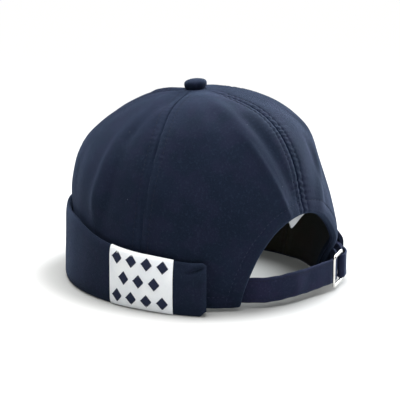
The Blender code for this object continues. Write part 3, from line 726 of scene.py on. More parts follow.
CROWN_TWILL = twill("crown_twill", rgb(0.0079, 0.0120, 0.0262), rgb(0.0245, 0.0355, 0.062),
                    rgb(0.0056, 0.0095, 0.0200))
CUFF_TWILL = twill("cuff_twill", rgb(0.0080, 0.0120, 0.0258), rgb(0.026, 0.036, 0.061),
                   rgb(0.0064, 0.0102, 0.0205), slant=-1.0, lint=0.3)
STRAP_TWILL = twill("strap_twill", rgb(0.0140, 0.0168, 0.0390), rgb(0.041, 0.049, 0.089),
                    rgb(0.0108, 0.0140, 0.0315), pitch=0.00075, lint=0.3)
TWILL_BACK = twill("twill_back", rgb(0.0330, 0.0325, 0.0235), rgb(0.065, 0.065, 0.052),
                   rgb(0.0270, 0.0268, 0.0190), slant=-1.0, lint=0.0)
NAVY_THREAD = sewing_thread("navy_thread", rgb(0.0035, 0.0055, 0.0135), rgb(0.0075, 0.0105, 0.0225))
SATIN_NAVY = sewing_thread("navy_satin_thread", rgb(0.009, 0.013, 0.032), rgb(0.020, 0.026, 0.054))
WHITE_THREAD = sewing_thread("white_thread", rgb(0.74, 0.76, 0.79), rgb(0.86, 0.87, 0.88))
WOVEN_WHITE = woven_white()
PLAIN_TAPE = plain_tape()
NICKEL = nickel()


# Crown panels

def edge_spread(count, gather=0.8):
    """Places from 0 to 1, drawn towards both ends by gather."""
    even = np.linspace(0.0, 1.0, count)
    return even * (1 - gather) + (1 - np.cos(np.pi * even)) / 2 * gather


ROW_GATHER = 0.38
COLUMN_EASE = 1.15


def panel_places(lower_angle, lower_rise, shares, start, end, rise_count):
    """A panel's grid of angles and rises, from its lower edge up to the hole under the button."""
    t = np.linspace(0.0, 1.0, rise_count)[:, None]
    v = t * (1 - ROW_GATHER) + t ** 2 * ROW_GATHER
    rise = lower_rise + (HOLE_RISE - lower_rise) * v
    first, last = seam_angle(start, rise), seam_angle(end, rise)
    between = first + (last - first) * shares
    angle = lower_angle + turn_between(between, lower_angle) * ease(v * COLUMN_EASE)
    at_seam = (shares == 0.0) | (shares == 1.0)
    angle = np.where(at_seam, between, angle)
    inset = np.degrees(SEAM_GAP / 2 / np.maximum(crown_radius(angle, rise), LEAST_RADIUS))
    return angle + np.where(at_seam, inset * (1 - 2 * shares), 0.0), rise


def panel(name, node, angle, rise, middle):
    """A crown panel as one piece of cloth, sheet and wall, from its grid of angles and rises."""
    outer = crown_point(angle, rise)
    inner = outer - crown_normal(angle, rise) * CROWN_WALL
    points, faces, sources = shell(outer, inner)
    down = lengths_along(outer[::-1])[::-1]
    across = np.radians(turn_between(angle, middle)) * crown_radius(angle, rise)
    cloth = flat_places(across, -down)[sources]
    seams = [np.abs(np.radians(turn_between(angle, seam_angle(seam, rise)))) * crown_radius(angle, rise)
             for seam in SEAMS[:-1]]
    nearest = np.min(seams, axis=0)
    worn = (bell(nearest - TOPSTITCH_OFFSET * 0.45, SEAM_WEAR_REACH) * SEAM_WEAR
            + np.clip(relief(angle, rise) / RIDGE_HEIGHT, 0.0, 1.0) * RIDGE_WEAR
            + bell(arch_distance(angle, rise), HEM_WEAR_REACH) * HEM_WEAR)
    worn = np.clip(worn, 0, 1).reshape(-1)[sources]
    half = (len(angle) - 1) * (angle.shape[1] - 1)
    made = add_piece(name, points, faces, CROWN_TWILL, cloth, worn, node,
                     inside=(TWILL_BACK, slice(half, half * 2)))


def crown_panels(columns=104, rises=176, arch_columns=70, rim_columns=38):
    rim = rise_at(RIM_LIFT)
    shares = edge_spread(columns)
    names = [("panel_side_left", "crown_side_left"), ("panel_front", "crown_front"),
             ("panel_side_right", "crown_side_right")]
    for (name, node), start, end in zip(names, SEAMS[1:4], SEAMS[2:5]):
        first, last = seam_angle(start, rim), seam_angle(end, rim)
        lower_angle = first + (last - first) * shares
        angle, rise = panel_places(lower_angle, np.full(columns, rim), shares, start, end, rises)
        panel(name, node, angle, rise, (first + last) / 2)
    back_panels = [(1, "panel_back_left", "crown_back_left"), (-1, "panel_back_right", "crown_back_right")]
    for side, name, node in back_panels:
        arch_angle, arch_rise = arch_place(90.0 * (np.arange(arch_columns) / arch_columns) ** 1.15)
        foot_angle, foot_rise = arch_place(90.0)
        seam_foot = seam_angle(SEAMS[1], foot_rise)
        rim_angle = foot_angle + (seam_foot - foot_angle) * edge_spread(rim_columns, 0.5)
        lower_angle = np.concatenate([arch_angle, rim_angle]) * side
        lower_rise = np.concatenate([arch_rise, np.full(rim_columns, foot_rise)])
        shares = np.linspace(0.0, 1.0, len(lower_angle))
        if side < 0:
            lower_angle, lower_rise = lower_angle[::-1], lower_rise[::-1]
        start, end = (SEAMS[0], SEAMS[1]) if side > 0 else (SEAMS[-2], SEAMS[-1])
        angle, rise = panel_places(lower_angle, lower_rise, shares, start, end, rises)
        panel(name, node, angle, rise, side * seam_foot / 2)


def arch_binding(turns=120):
    """The folded strip that backs the arch's edge on the inside."""
    wider = np.linspace(0.0, FACING_WIDTH, 9)[:, None]
    turn = np.linspace(-90.0, 90.0, turns)[None, :]
    angle, rise = arch_place(*np.broadcast_arrays(turn, wider))
    inward = -(CROWN_WALL + FACING_CLEARANCE)
    roll = FACING_ROLL * (np.cos(np.pi * (wider / FACING_WIDTH - 0.5)) ** 2 - 1)
    outer = crown_point(angle, rise, inward + roll, sewn=False)
    inner = outer - crown_normal(angle, rise) * FACING_WALL
    points, faces, sources = shell(outer, inner)
    along = lengths_along(outer[4])
    cloth = flat_places(along, wider)[sources]
    made = add_piece("arch_binding", points, faces, CROWN_TWILL, cloth,
                     np.zeros(len(points)), "arch_facing")


def cloth_button(rings=40, sides=96):
    """A button covered with the crown's cloth, drawn in with small pleats round its underside."""
    stations = np.linspace(0.0, 1.0, len(BUTTON_ROWS))
    t = np.linspace(0.0, 1.0, rings)
    radius = curve_through(stations, [row[0] for row in BUTTON_ROWS], t) * BUTTON_RADIUS
    height = curve_through(stations, [row[1] for row in BUTTON_ROWS], t) * BUTTON_HEIGHT / 2
    turn = np.linspace(0.0, math.tau, sides, endpoint=False)
    drawn = ease((t - BUTTON_PLEAT_START) / (1 - BUTTON_PLEAT_START))[:, None]
    pleat = 1 + BUTTON_PLEAT_SHARE * np.sin(turn * BUTTON_PLEATS) * drawn
    x = radius[:, None] * np.cos(turn) * pleat
    y = -radius[:, None] * np.sin(turn) * pleat
    z = height[:, None] + BUTTON_UNEVENNESS * np.sin(3 * turn + 1.0) * (radius / BUTTON_RADIUS)[:, None]
    lean = math.radians(BUTTON_LEAN)
    y, z = y * math.cos(lean) - z * math.sin(lean), y * math.sin(lean) + z * math.cos(lean)
    x, z = x * math.cos(lean) + z * math.sin(lean), -x * math.sin(lean) + z * math.cos(lean)
    seat = CAP_PLACE + (0.0, TOP_LEAN, CROWN_HEIGHT + BUTTON_CLEARANCE)
    points, faces, ends = band(np.stack([x, y, z], axis=-1)[::-1] + seat)
    flat = flat_places(x[::-1], -y[::-1])
    worn = np.broadcast_to((0.5 * bell(t - 0.45, 0.14))[:, None], x.shape)[::-1].reshape(-1)
    add_piece("cloth_button", points, faces, CROWN_TWILL, flat, worn, "button", ends[:1])


# Cuff

def cuff_height(angle):
    from_back = np.abs(turn_between(angle, 0.0))
    return CUFF_HEIGHT * curve_through(CUFF_HEIGHTS[:, 0], CUFF_HEIGHTS[:, 1], from_back)


def cuff_flare(angle, level):
    from_back = turn_between(angle, 0.0)
    strap_top = STRAP_LIFT + STRAP_WIDTH
    lean = ease((level - strap_top) / (cuff_height(angle) - strap_top))
    foot = np.where(from_back < 0, RIGHT_FLARE_FOOT, LEFT_FLARE_FOOT)
    top = np.where(from_back < 0, RIGHT_FLARE_TOP, LEFT_FLARE_TOP)
    flare = foot + (top - foot) * lean
    return flare * ease(1 - (np.abs(from_back) - CUFF_END) / FLARE_REACH)


def crown_beyond(angle, height):
    """How far the crown's cloth stands beyond the oval at a height."""
    rise = rise_at(height)
    length = BACK_LENGTH if math.cos(math.radians(angle)) > 0 else FRONT_LENGTH
    out = (crown_share(angle, rise) - 1.0) * (HALF_WIDTH + length) / 2
    return float(out + np.maximum(relief(np.array(angle), np.array(rise)), 0.0))


def cuff_profile(rows, height):
    return [(CUFF_STAND_OFF - CUFF_WALL * inset, height * share + CUFF_ROUND * turned)
            for share, turned, inset in rows]


def rounded(outline, passes=2):
    """An open outline with its corners cut, for a soft fold."""
    line = np.array(outline, float)
    for _ in range(passes):
        near, far = line[:-1] * 0.75 + line[1:] * 0.25, line[:-1] * 0.25 + line[1:] * 0.75
        line = np.concatenate([line[:1], np.stack([near, far], axis=1).reshape(-1, 2), line[-1:]])
    return line


def cuff_face_line(angle, count=64):
    """The cuff's outer line from its foot over the fold on top, as lengths beyond the oval and levels."""
    line = rounded(cuff_profile(CUFF_FACE, float(cuff_height(angle))))
    return resample(line, np.linspace(0.0, lengths_along(line)[-1], count))


def cuff_back_line(angle, count=26):
    """The cuff's inner line from the fold down to its lip and its foot."""
    height = float(cuff_height(angle))
    line = cuff_profile(CUFF_FACE[-1:], height)
    for beyond, level in cuff_profile(CUFF_BACK, height):
        line.append((max(beyond, crown_beyond(angle, level) + CUFF_CLEARANCE), level))
    inner_face = CUFF_STAND_OFF - CUFF_WALL
    lip_end = crown_beyond(angle, CUFF_LIP) + CUFF_CLEARANCE
    line += [(inner_face, CUFF_LIP + CUFF_LIP_ROUND * 3), (inner_face - CUFF_LIP_ROUND, CUFF_LIP),
             (lip_end, CUFF_LIP - CUFF_LIP_ROUND * 0.3), (lip_end, CUFF_LIP_ROUND * 0.4),
             (lip_end + CUFF_LIP_ROUND, 0.0)]
    line = rounded(line, 1)
    return resample(line, np.linspace(0.0, lengths_along(line)[-1], count))


def cuff_swell(angle, level, height):
    """The turned-up cloth's unevenness: a soft hem, slack waves and the slanting crease by the left end."""
    from_left = np.radians(turn_between(angle, CUFF_END)) * HALF_WIDTH
    from_right = np.radians(turn_between(angle, -CUFF_END)) * HALF_WIDTH
    drop = height - level
    waves = slump(oval_point(angle, 0.0, level * 0.6)) * 0.8 * ease(level / height * 5)
    tuck = drop - CREASE_TOP - CREASE_SLANT * from_left
    crease = bell(tuck, CREASE_REACH) - 0.5 * bell(tuck + CREASE_ROLL_DROP, CREASE_ROLL_REACH)
    crease = crease * ease(from_left / CREASE_START) * ease((CREASE_LENGTH - from_left) / CREASE_FADE)
    end_roll = bell(from_left, CUFF_END_REACH) + bell(from_right, CUFF_END_REACH)
    hem_track = bell(drop - CUFF_HEM_DROP, CUFF_HEM_REACH)
    slack = bell(turn_between(angle, CUFF_SLACK_ANGLE), CUFF_SLACK_TURN)
    slack = slack * bell(level - CUFF_SLACK_LEVEL, CUFF_SLACK_REACH)
    return (waves - CREASE_DEPTH * crease - CUFF_END_ROLL * end_roll - CUFF_HEM_DEPTH * hem_track
            + CUFF_SLACK * slack)


def cuff_surface(angle, line, beyond=0.0):
    """Points of a line of the cuff's section at an angle, with flare and swell."""
    out, level = line[:, 0], line[:, 1]
    swell = cuff_swell(angle, level, float(cuff_height(angle)))
    outward = unit(np.stack([np.gradient(level), -np.gradient(out)], axis=1))
    reach = out + cuff_flare(angle, level) + (swell + beyond) * outward[:, 0]
    return oval_point(angle, reach, np.maximum(level + (swell + beyond) * outward[:, 1], 0.0))


def turned_cuff(columns=280, crease_columns=28):
    corner_turn = math.degrees(CUFF_CORNER / HALF_WIDTH)
    ends = np.linspace(0.0, 1.0, 9) ** 0.8 * corner_turn
    crease_end = CUFF_END + corner_turn + math.degrees(CREASE_LENGTH / HALF_WIDTH)
    middle = np.concatenate([np.linspace(CUFF_END + corner_turn, crease_end, crease_columns, endpoint=False),
                             np.linspace(crease_end, 360 - CUFF_END - corner_turn, columns)])
    angles = np.concatenate([CUFF_END + ends[:-1], middle, 360 - CUFF_END - ends[:-1][::-1]])
    rings, places = [], []
    for angle in angles:
        face, back = cuff_face_line(angle), cuff_back_line(angle)[1:]
        hidden = oval_point(angle, back[:, 0] + cuff_flare(angle, back[:, 1]), back[:, 1])
        points = np.concatenate([cuff_surface(angle, face), hidden])
        from_end = min(angle - CUFF_END, 360 - CUFF_END - angle)
        cut = CUFF_CORNER_LIFT * (1 - ease(from_end / corner_turn))
        points[:, 2] += cut * np.maximum(1 - points[:, 2] / CUFF_CORNER, 0.0)
        rings.append(points)
        down = lengths_along(np.concatenate([face, back]))
        places.append(flat_places(math.radians(angle) * FRONT_LENGTH, down))
    rings, places = np.array(rings), np.array(places)
    points, faces, caps = band(rings)
    share = rings[..., 2] / rings[..., 2].max(axis=1, keepdims=True)
    from_end = np.minimum(angles - CUFF_END, 360 - CUFF_END - angles)[:, None]
    worn = 0.35 * ease((share - 0.93) / 0.07) + 0.30 * bell(from_end, 1.4)
    made = add_piece("turned_cuff", points, faces[:, ::-1], CUFF_TWILL, places.reshape(-1, 2),
                     np.clip(worn, 0, 1).reshape(-1), "cuff", [cap[::-1] for cap in caps])


# Patch on the cuff

def patch_grid(rows=56, columns=72):
    """The patch's face as a grid, which its other pieces are laid out on."""
    grid = np.zeros((rows, columns, 3))
    for i, x in enumerate(np.linspace(0.0, 1.0, columns)):
        angle = PATCH_FROM + (PATCH_TO - PATCH_FROM) * x
        surface = cuff_surface(angle, cuff_face_line(angle, count=80), PATCH_CLEARANCE + PATCH_WALL)
        places = lengths_along(surface)[-1] * np.linspace(PATCH_LOW_SHARE, PATCH_HIGH_SHARE, rows)
        grid[:, i] = resample(surface, places)
    return grid


def on_grid(grid, x, y):
    """Points at shares across and up a grid, and the grid's outward direction there."""
    rows, columns = grid.shape[:2]
    fx, fy = np.clip(x, 0, 1) * (columns - 1), np.clip(y, 0, 1) * (rows - 1)
    i, j = np.minimum(fx.astype(int), columns - 2), np.minimum(fy.astype(int), rows - 2)
    u, v = (fx - i)[..., None], (fy - j)[..., None]
    low = grid[j, i] * (1 - u) + grid[j, i + 1] * u
    high = grid[j + 1, i] * (1 - u) + grid[j + 1, i + 1] * u
    normal = unit(np.cross(grid[j + 1, i] - grid[j, i], grid[j, i + 1] - grid[j, i]))
    return low * (1 - v) + high * v, normal


def woven_patch(grid):
    rows, columns = grid.shape[:2]
    normal = unit(np.cross(np.gradient(grid, axis=0), np.gradient(grid, axis=1)))
    x, y = np.linspace(0, 1, columns)[None, :], np.linspace(0, 1, rows)[:, None]
    width = float(lengths_along(grid[rows // 2])[-1])
    height = float(lengths_along(grid[:, columns // 2])[-1])
    inset = np.minimum(np.minimum(x, 1 - x) * width, np.minimum(y, 1 - y) * height)
    drop = (PATCH_EDGE_ROLL * bell(inset, PATCH_EDGE_REACH)
            + PATCH_TRACK_DEPTH * bell(inset - PATCH_EDGE, PATCH_TRACK_REACH))
    outer = grid - normal * drop[..., None]
    inner = grid - normal * PATCH_WALL
    points, faces, sources = shell(outer, inner)
    cloth = flat_places(x * width, y * height)[sources]
    worn = (bell(inset, PATCH_WEAR_REACH) * 0.8).reshape(-1)[sources]
    made = add_piece("woven_patch", points, faces, WOVEN_WHITE, cloth, worn, "cuff_patch")
    return width, height


# Stitches

def add_stitches(name, starts, ends, normals, material, slot, radius=THREAD_RADIUS, bow=THREAD_BOW, sides=6):
    """Short lengths of thread that dip into the cloth at both ends."""
    t = np.array([-0.5, -0.40, -0.15, 0.15, 0.40, 0.5])
    girth = np.array([0.45, 0.90, 1.00, 1.00, 0.90, 0.45])
    lift = bow * (1 - (2 * t) ** 2) - radius * 0.9 * np.abs(2 * t) ** 3
    turn = np.linspace(0.0, math.tau, sides, endpoint=False)
    middle, run = (starts + ends) / 2, ends - starts
    normals = unit(normals - unit(run) * np.sum(normals * unit(run), axis=1, keepdims=True))
    side = np.cross(unit(run), normals)
    upward = (lift[:, None] + radius * girth[:, None] * np.cos(turn))[..., None]
    sideways = (radius * girth[:, None] * np.sin(turn))[..., None]
    body = (middle[:, None, None] + run[:, None, None] * t[:, None, None]
            + normals[:, None, None] * upward + side[:, None, None] * sideways)
    count, rings = len(starts), len(t)
    quads = grid_faces(rings, sides, closed=True)
    size = rings * sides
    faces = (quads[None] + (np.arange(count) * size)[:, None, None]).reshape(-1, 4)
    caps = []
    for i in range(count):
        caps.append([i * size + j for j in range(sides)][::-1])
        caps.append([i * size + size - sides + j for j in range(sides)])
    add_piece(name, body.reshape(-1, 3), faces, material, ends=caps)


def stitch_run(line, normals, length=STITCH_LENGTH, pitch=STITCH_PITCH):
    """Starts, ends and outward directions of stitches along a line."""
    along = lengths_along(line)
    starts = np.arange(pitch * 0.5, along[-1] - length, pitch)
    outward = resample(normals, starts + length / 2, along)
    return resample(line, starts), resample(line, starts + length), outward


def crown_stitches(angle, rise):
    return stitch_run(crown_point(angle, rise), crown_normal(angle, rise))


def join_runs(runs):
    return [np.concatenate(parts) for parts in zip(*runs)]


def seam_topstitching():
    """Two rows of stitches along each crown seam."""
    runs = []
    for number, seam in enumerate(SEAMS[:-1]):
        foot = ARCH_HEIGHT + SEAM_ROW_ABOVE_ARCH if number == 0 else RIM_LIFT + SEAM_ROW_ABOVE_RIM
        rise = np.linspace(float(rise_at(foot)), SEAM_ROW_TOP, 240)
        angle = seam_angle(seam, rise)
        offset = np.degrees(TOPSTITCH_OFFSET / crown_radius(angle, rise))
        runs += [crown_stitches(angle - offset, rise), crown_stitches(angle + offset, rise)]
    add_stitches("seam_topstitching", *join_runs(runs), NAVY_THREAD, "crown_twill")


def hem_topstitching():
    """The row of stitches that holds the arch's hem, and the one along the rim at the back."""
    runs = [crown_stitches(*arch_place(np.linspace(-90.0, 90.0, 400), HEM_WIDTH))]
    for side in (-1, 1):
        angle = side * np.linspace(FOOT_ANGLE + RIM_ROW_PAST_FOOT, CUFF_END + RIM_ROW_PAST_CUFF_END, 60)
        runs.append(crown_stitches(angle, np.full(60, float(rise_at(RIM_LIFT + HEM_WIDTH)))))
    add_stitches("hem_topstitching", *join_runs(runs), SATIN_NAVY, "crown_twill")


def patch_stitching(grid, width, height):
    """White stitches just inside the patch's edge."""
    x_in, y_in = PATCH_EDGE / width, PATCH_EDGE / height
    corners = [(x_in, y_in), (1 - x_in, y_in), (1 - x_in, 1 - y_in), (x_in, 1 - y_in), (x_in, y_in)]
    runs = []
    for (x0, y0), (x1, y1) in zip(corners, corners[1:]):
        points, normals = on_grid(grid, np.linspace(x0, x1, 90), np.linspace(y0, y1, 90))
        runs.append(stitch_run(points, normals, PATCH_STITCH_LENGTH, PATCH_STITCH_PITCH))
    add_stitches("patch_stitching", *join_runs(runs), WHITE_THREAD, "patch_weave", radius=PATCH_THREAD_RADIUS,
                 bow=FINE_THREAD_BOW)


def patch_lozenges(grid, width, height):
    """Small lozenges in satin stitch, set in staggered rows, each filled with upright threads."""
    runs = []
    row_step = (height - 2 * PATCH_EDGE) / LOZENGE_ROWS
    column_step = (width - 2 * PATCH_EDGE) / LOZENGE_COLUMNS
    for row in range(LOZENGE_ROWS):
        shifted = row % 2
        for column in range(LOZENGE_COLUMNS - shifted):
            x = PATCH_EDGE + column_step * (column + 0.5 + shifted * 0.5)
            y = PATCH_EDGE + row_step * (row + 0.5)
            offsets = np.arange(-LOZENGE_WIDTH / 2 + SATIN_PITCH * 0.7, LOZENGE_WIDTH / 2, SATIN_PITCH)
            half = LOZENGE_HEIGHT / 2 * (1 - np.abs(offsets) / (LOZENGE_WIDTH / 2)) + SATIN_OVERLAP
            low, out = on_grid(grid, (x + offsets) / width, (y - half) / height)
            high, _ = on_grid(grid, (x + offsets) / width, (y + half) / height)
            runs.append((low, high, out))
    add_stitches("patch_lozenges", *join_runs(runs), SATIN_NAVY, "patch_weave", radius=SATIN_THREAD_RADIUS,
                 bow=SATIN_BOW)


# Strap, loop and buckle

def strap_column(place, column):
    return curve_through(STRAP_ROWS[:, 0], STRAP_ROWS[:, column], place)


def strap_beyond(place):
    tuck = ((1 - CROWN_PROFILE[0, 1]) * HALF_WIDTH + CROWN_WALL + FACING_CLEARANCE + FACING_WALL
            + STRAP_CLEARANCE + STRAP_WALL / 2)
    return STRAP_SWING * strap_column(place, 1) - tuck * strap_column(place, 2)


def strap_lift(place):
    return STRAP_LIFT * strap_column(place, 3)


def tape_section(wall, count=17):
    """The strap's closed section: lengths out from its middle and heights from its lower edge."""
    up = (1 - np.cos(np.linspace(0, np.pi, count))) / 2 * STRAP_WIDTH
    inset = np.minimum(up, STRAP_WIDTH - up)
    half = wall / 2 * (1 - 0.45 * bell(inset, wall * 0.30))
    half = half + STRAP_EDGE_BEAD * bell(inset - STRAP_BEAD_INSET, STRAP_BEAD_REACH)
    half = half - STRAP_TRACK_DEPTH * bell(inset - STRAP_STITCH_INSET, STRAP_TRACK_REACH)
    return np.concatenate([np.stack([half, up], axis=1), np.stack([-half, up], axis=1)[::-1]])


def tape_band(name, node, line, lift, wall):
    """A length of strap along a plan line, standing on its lower edge. Returns its rows of stitches."""
    heading = unit(np.gradient(line, axis=0))
    outward = np.stack([-heading[:, 1], heading[:, 0]], axis=1)
    section = tape_section(wall)
    along = lengths_along(line)
    ripple = STRAP_RIPPLE * np.sin(along * STRAP_RIPPLE_RATE)[:, None]
    ripple = ripple * np.sin(section[:, 1] / STRAP_WIDTH * np.pi)
    out = section[:, 0] + ripple
    sway = (STRAP_SWAY * np.sin(along * STRAP_SWAY_RATE + 0.6)
            + STRAP_FINE_SWAY * np.sin(along * STRAP_FINE_SWAY_RATE))
    rings = np.zeros((len(line), len(section), 3))
    rings[..., :2] = line[:, None] + outward[:, None] * out[..., None]
    rings[..., 2] = lift[:, None] + section[None, :, 1] + sway[:, None]
    points, faces, caps = band(rings)
    girth = np.concatenate([[0.0], np.cumsum(np.linalg.norm(np.diff(section, axis=0), axis=1))])
    cloth = flat_places(along[:, None], girth)
    inset = np.minimum(section[:, 1], STRAP_WIDTH - section[:, 1])
    worn = np.broadcast_to(0.7 * bell(inset, STRAP_WEAR_REACH), rings.shape[:2]).reshape(-1)
    made = add_piece(name, points, faces, STRAP_TWILL, cloth, worn, node, caps)
    rows = []
    for edge in (STRAP_STITCH_INSET, STRAP_WIDTH - STRAP_STITCH_INSET):
        for side in (1, -1):
            reach = side * (wall / 2 - STRAP_THREAD_SINK)
            path = np.concatenate([line + outward * reach, (lift + sway + edge)[:, None]], axis=1)
            facing = np.concatenate([outward * side, np.zeros((len(line), 1))], axis=1)
            rows.append(stitch_run(path, facing, STRAP_STITCH_LENGTH, STRAP_STITCH_PITCH))
    return rows


def long_strap():
    places = np.linspace(STRAP_ROWS[0, 0], STRAP_ROWS[-1, 0], 170)
    line = oval_point(FOOT_ANGLE * places, strap_beyond(places), 0.0)[:, :2]
    return tape_band("long_strap", "strap_left", line, strap_lift(places), STRAP_WALL)


def bar_point(place, layer):
    beyond = strap_beyond(place) + STRAP_WALL / 2 + BUCKLE_CLEARANCE + BUCKLE_WIRE + layer
    return oval_point(FOOT_ANGLE * place, beyond, 0.0)[:2]


def bar_places():
    """The plan places of the buckle's near and far bars."""
    near = bar_point(NEAR_BAR_PLACE, 0.0)
    far = bar_point(FAR_BAR_PLACE, LOOP_WALL + BUCKLE_CLEARANCE)
    return near, near + unit(far - near) * (BUCKLE_LENGTH - 2 * BUCKLE_WIRE)


def sewn_loop(leg_count=44, bend_count=26):
    """The short loop round the far bar. Its two layers run together under the cuff's right end."""
    near, far = bar_places()
    low = float(strap_lift(FAR_BAR_PLACE))
    sewn_angle = -(CUFF_END + LOOP_SEWN_DEPTH)
    cuff_inside = CUFF_STAND_OFF - CUFF_WALL + float(cuff_flare(sewn_angle, low + STRAP_WIDTH / 2))
    sewn_beyond = cuff_inside - LOOP_CLEARANCE - LOOP_WALL
    sewn = oval_point(sewn_angle, sewn_beyond, 0.0)[:2]
    before_sewn = oval_point(sewn_angle + 2 * LOOP_SEWN_DEPTH, sewn_beyond + LOOP_DRAW_IN, 0.0)[:2]
    bend_radius = BUCKLE_WIRE + BUCKLE_CLEARANCE + LOOP_WALL / 2
    leave, arrive = unit(far - near), unit(sewn - before_sewn)
    reach = np.linalg.norm(sewn - far) * 0.4
    b = np.linspace(0.0, 1.0, leg_count)[1:, None]
    a = 1 - b
    spine = (far * a ** 3 + (far + leave * reach) * 3 * a * a * b
             + (sewn - arrive * reach) * 3 * a * b * b + sewn * b ** 3)
    heading = unit(leave * a + arrive * b)
    across = np.stack([-heading[:, 1], heading[:, 0]], axis=1)
    closed = ease(b * 1.6)
    gap = bend_radius * (1 - closed) + (LOOP_WALL + LOOP_GAP) / 2 * closed
    turn = np.linspace(0.0, np.pi, bend_count)[:, None]
    sideways = np.array([-leave[1], leave[0]])
    bend = far + sideways * np.cos(turn) * bend_radius - leave * np.sin(turn) * bend_radius
    line = np.concatenate([(spine + across * gap)[::-1], bend, spine - across * gap])
    lift = np.full(len(line), low)
    return tape_band("sewn_loop", "strap_right", line[::-1], lift, LOOP_WALL)


def wire_buckle(corner_count=14, straight_count=10, sides=20):
    """The bent wire frame, whose top and bottom rails are drawn a little thicker."""
    near, far = bar_places()
    along = unit(far - near)
    middle = float(strap_lift(NEAR_BAR_PLACE)) + STRAP_WIDTH / 2
    half_long = np.linalg.norm(far - near) / 2
    half_high = STRAP_WIDTH / 2 + BUCKLE_CLEARANCE * 2 + BUCKLE_WIRE * BUCKLE_RAIL_SHARE
    path, girth = [], []
    for quarter in range(4):
        sign_x, sign_z = (1 if quarter in (0, 3) else -1), (1 if quarter in (0, 1) else -1)
        swing = math.radians(90 * quarter) + np.linspace(0, np.pi / 2, corner_count)
        x = sign_x * (half_long - BUCKLE_CORNER) + BUCKLE_CORNER * np.cos(swing)
        z = sign_z * (half_high - BUCKLE_CORNER) + BUCKLE_CORNER * np.sin(swing)
        path.append(np.stack([x, z], axis=1))
        girth.append(BAR_SHARE + (RAIL_SHARE - BAR_SHARE) * ease(np.abs(np.sin(swing))))
    corners, thick = np.concatenate(path), np.concatenate(girth)
    loop = np.concatenate([corners, corners[:1]])
    thick = np.concatenate([thick, thick[:1]])
    stations = lengths_along(loop)
    fine = np.linspace(0.0, stations[-1], 4 * (corner_count + straight_count) * 2, endpoint=False)
    line = resample(loop, fine)
    thick = np.interp(fine, stations, thick)
    heading = unit(np.roll(line, -1, axis=0) - np.roll(line, 1, axis=0))
    outward = np.stack([heading[:, 1], -heading[:, 0]], axis=1)
    centre = (near + far) / 2
    facing = np.array([-along[1], along[0]])
    turn = np.linspace(0.0, math.tau, sides, endpoint=False)
    ring_out = BUCKLE_WIRE * thick[:, None] * np.cos(turn)
    ring_face = BUCKLE_WIRE * np.sin(turn)[None, :] * np.ones(len(line))[:, None]
    x = line[:, :1] + outward[:, :1] * ring_out
    z = line[:, 1:] + outward[:, 1:] * ring_out
    plan = centre + along * x[..., None] + facing * ring_face[..., None]
    rings = np.concatenate([plan, (middle + z)[..., None]], axis=-1)
    count = len(line)
    faces = grid_faces(count + 1, sides, closed=True) % (count * sides)
    add_piece("wire_buckle", rings.reshape(-1, 3), faces, NICKEL, node="buckle")


def tape_label(rows=26, columns=20):
    """The blank label. It hangs a little curled, with its two ends folded under."""
    low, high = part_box("inner_label")
    tilt, turn = math.radians(LABEL_TILT), math.radians(-LABEL_ANGLE)
    centre = np.array((low + high) / 2) - (0.0, 0.0, LABEL_SAG)
    x = np.linspace(-0.5, 0.5, columns)[None, :] * LABEL_WIDTH
    z = np.linspace(-0.5, 0.5, rows)[:, None] * LABEL_LENGTH
    curl = LABEL_CURL * np.sin(z / LABEL_LENGTH * np.pi * 1.5 + 0.5)
    curl = curl + LABEL_CROSS_CURL * np.sin(x / LABEL_WIDTH * np.pi * 2)
    fold = LABEL_FOLD * ease((np.abs(z) - LABEL_LENGTH * LABEL_FOLD_SHARE) / LABEL_FOLD_REACH)
    walls = []
    for y in (curl + LABEL_WALL / 2 + fold, curl - LABEL_WALL / 2 - fold):
        a = x * math.cos(tilt) + z * math.sin(tilt)
        b = -x * math.sin(tilt) + z * math.cos(tilt)
        plan = [a * math.cos(turn) - y * math.sin(turn), a * math.sin(turn) + y * math.cos(turn)]
        walls.append(np.stack([*plan, b], axis=-1) + centre)
    points, faces, sources = shell(walls[0][:, ::-1], walls[1][:, ::-1])
    cloth = flat_places(x[:, ::-1], z)[sources]
    made = add_piece("tape_label", points, faces, PLAIN_TAPE, cloth, node="inner_label")


# Stage, light and camera

VIEW_AZIMUTH = 131.5
VIEW_ELEVATION = 12.8
VIEW_DISTANCE = 0.924
VIEW_AIM_HEIGHT = 0.0647
VIEW_LENS = 113.6
VIEW_SHIFT = (-0.0025, -0.0258)
FLOOR_SIZE = 9.0
# How far from the cap the floor turns white, from the first length to the second
FLOOR_FADE = (0.22, 0.95)
# The shade under the cap: an oval's middle, and the shares of the cap's plan between which the floor changes
SHADE_INSIDE = ((0.0060, 0.0050, 0.0), 0.44, 0.90)
SHADE_OUTSIDE = ((0.0040, -0.0080, 0.0), 1.05, 1.36)
# Name, azimuth, elevation, distance, width, power and colour
LIGHTS = [
    ("softbox_top", 148.0, 86.0, 1.15, 1.0, 28.0, (1.0, 1.0, 1.0)),
    ("softbox_behind", 345.0, 55.0, 1.20, 0.8, 13.5, (1.0, 1.0, 1.0)),
    ("softbox_right", 262.0, 22.0, 1.30, 0.8, 33.0, (0.90, 0.95, 1.0)),
    ("softbox_front", 148.0, 17.0, 1.40, 0.9, 6.6, (1.0, 1.0, 1.0)),
]
LIGHTS_AIM = Vector((0.0, 0.0, 0.06))


def direction(azimuth, elevation):
    a, e = math.radians(azimuth), math.radians(elevation)
    return Vector((math.sin(a) * math.cos(e), -math.cos(a) * math.cos(e), math.sin(e)))


def look_at(thing, target):
    thing.rotation_mode = "QUATERNION"
    thing.rotation_quaternion = (target - thing.location).to_track_quat("-Z", "Y")


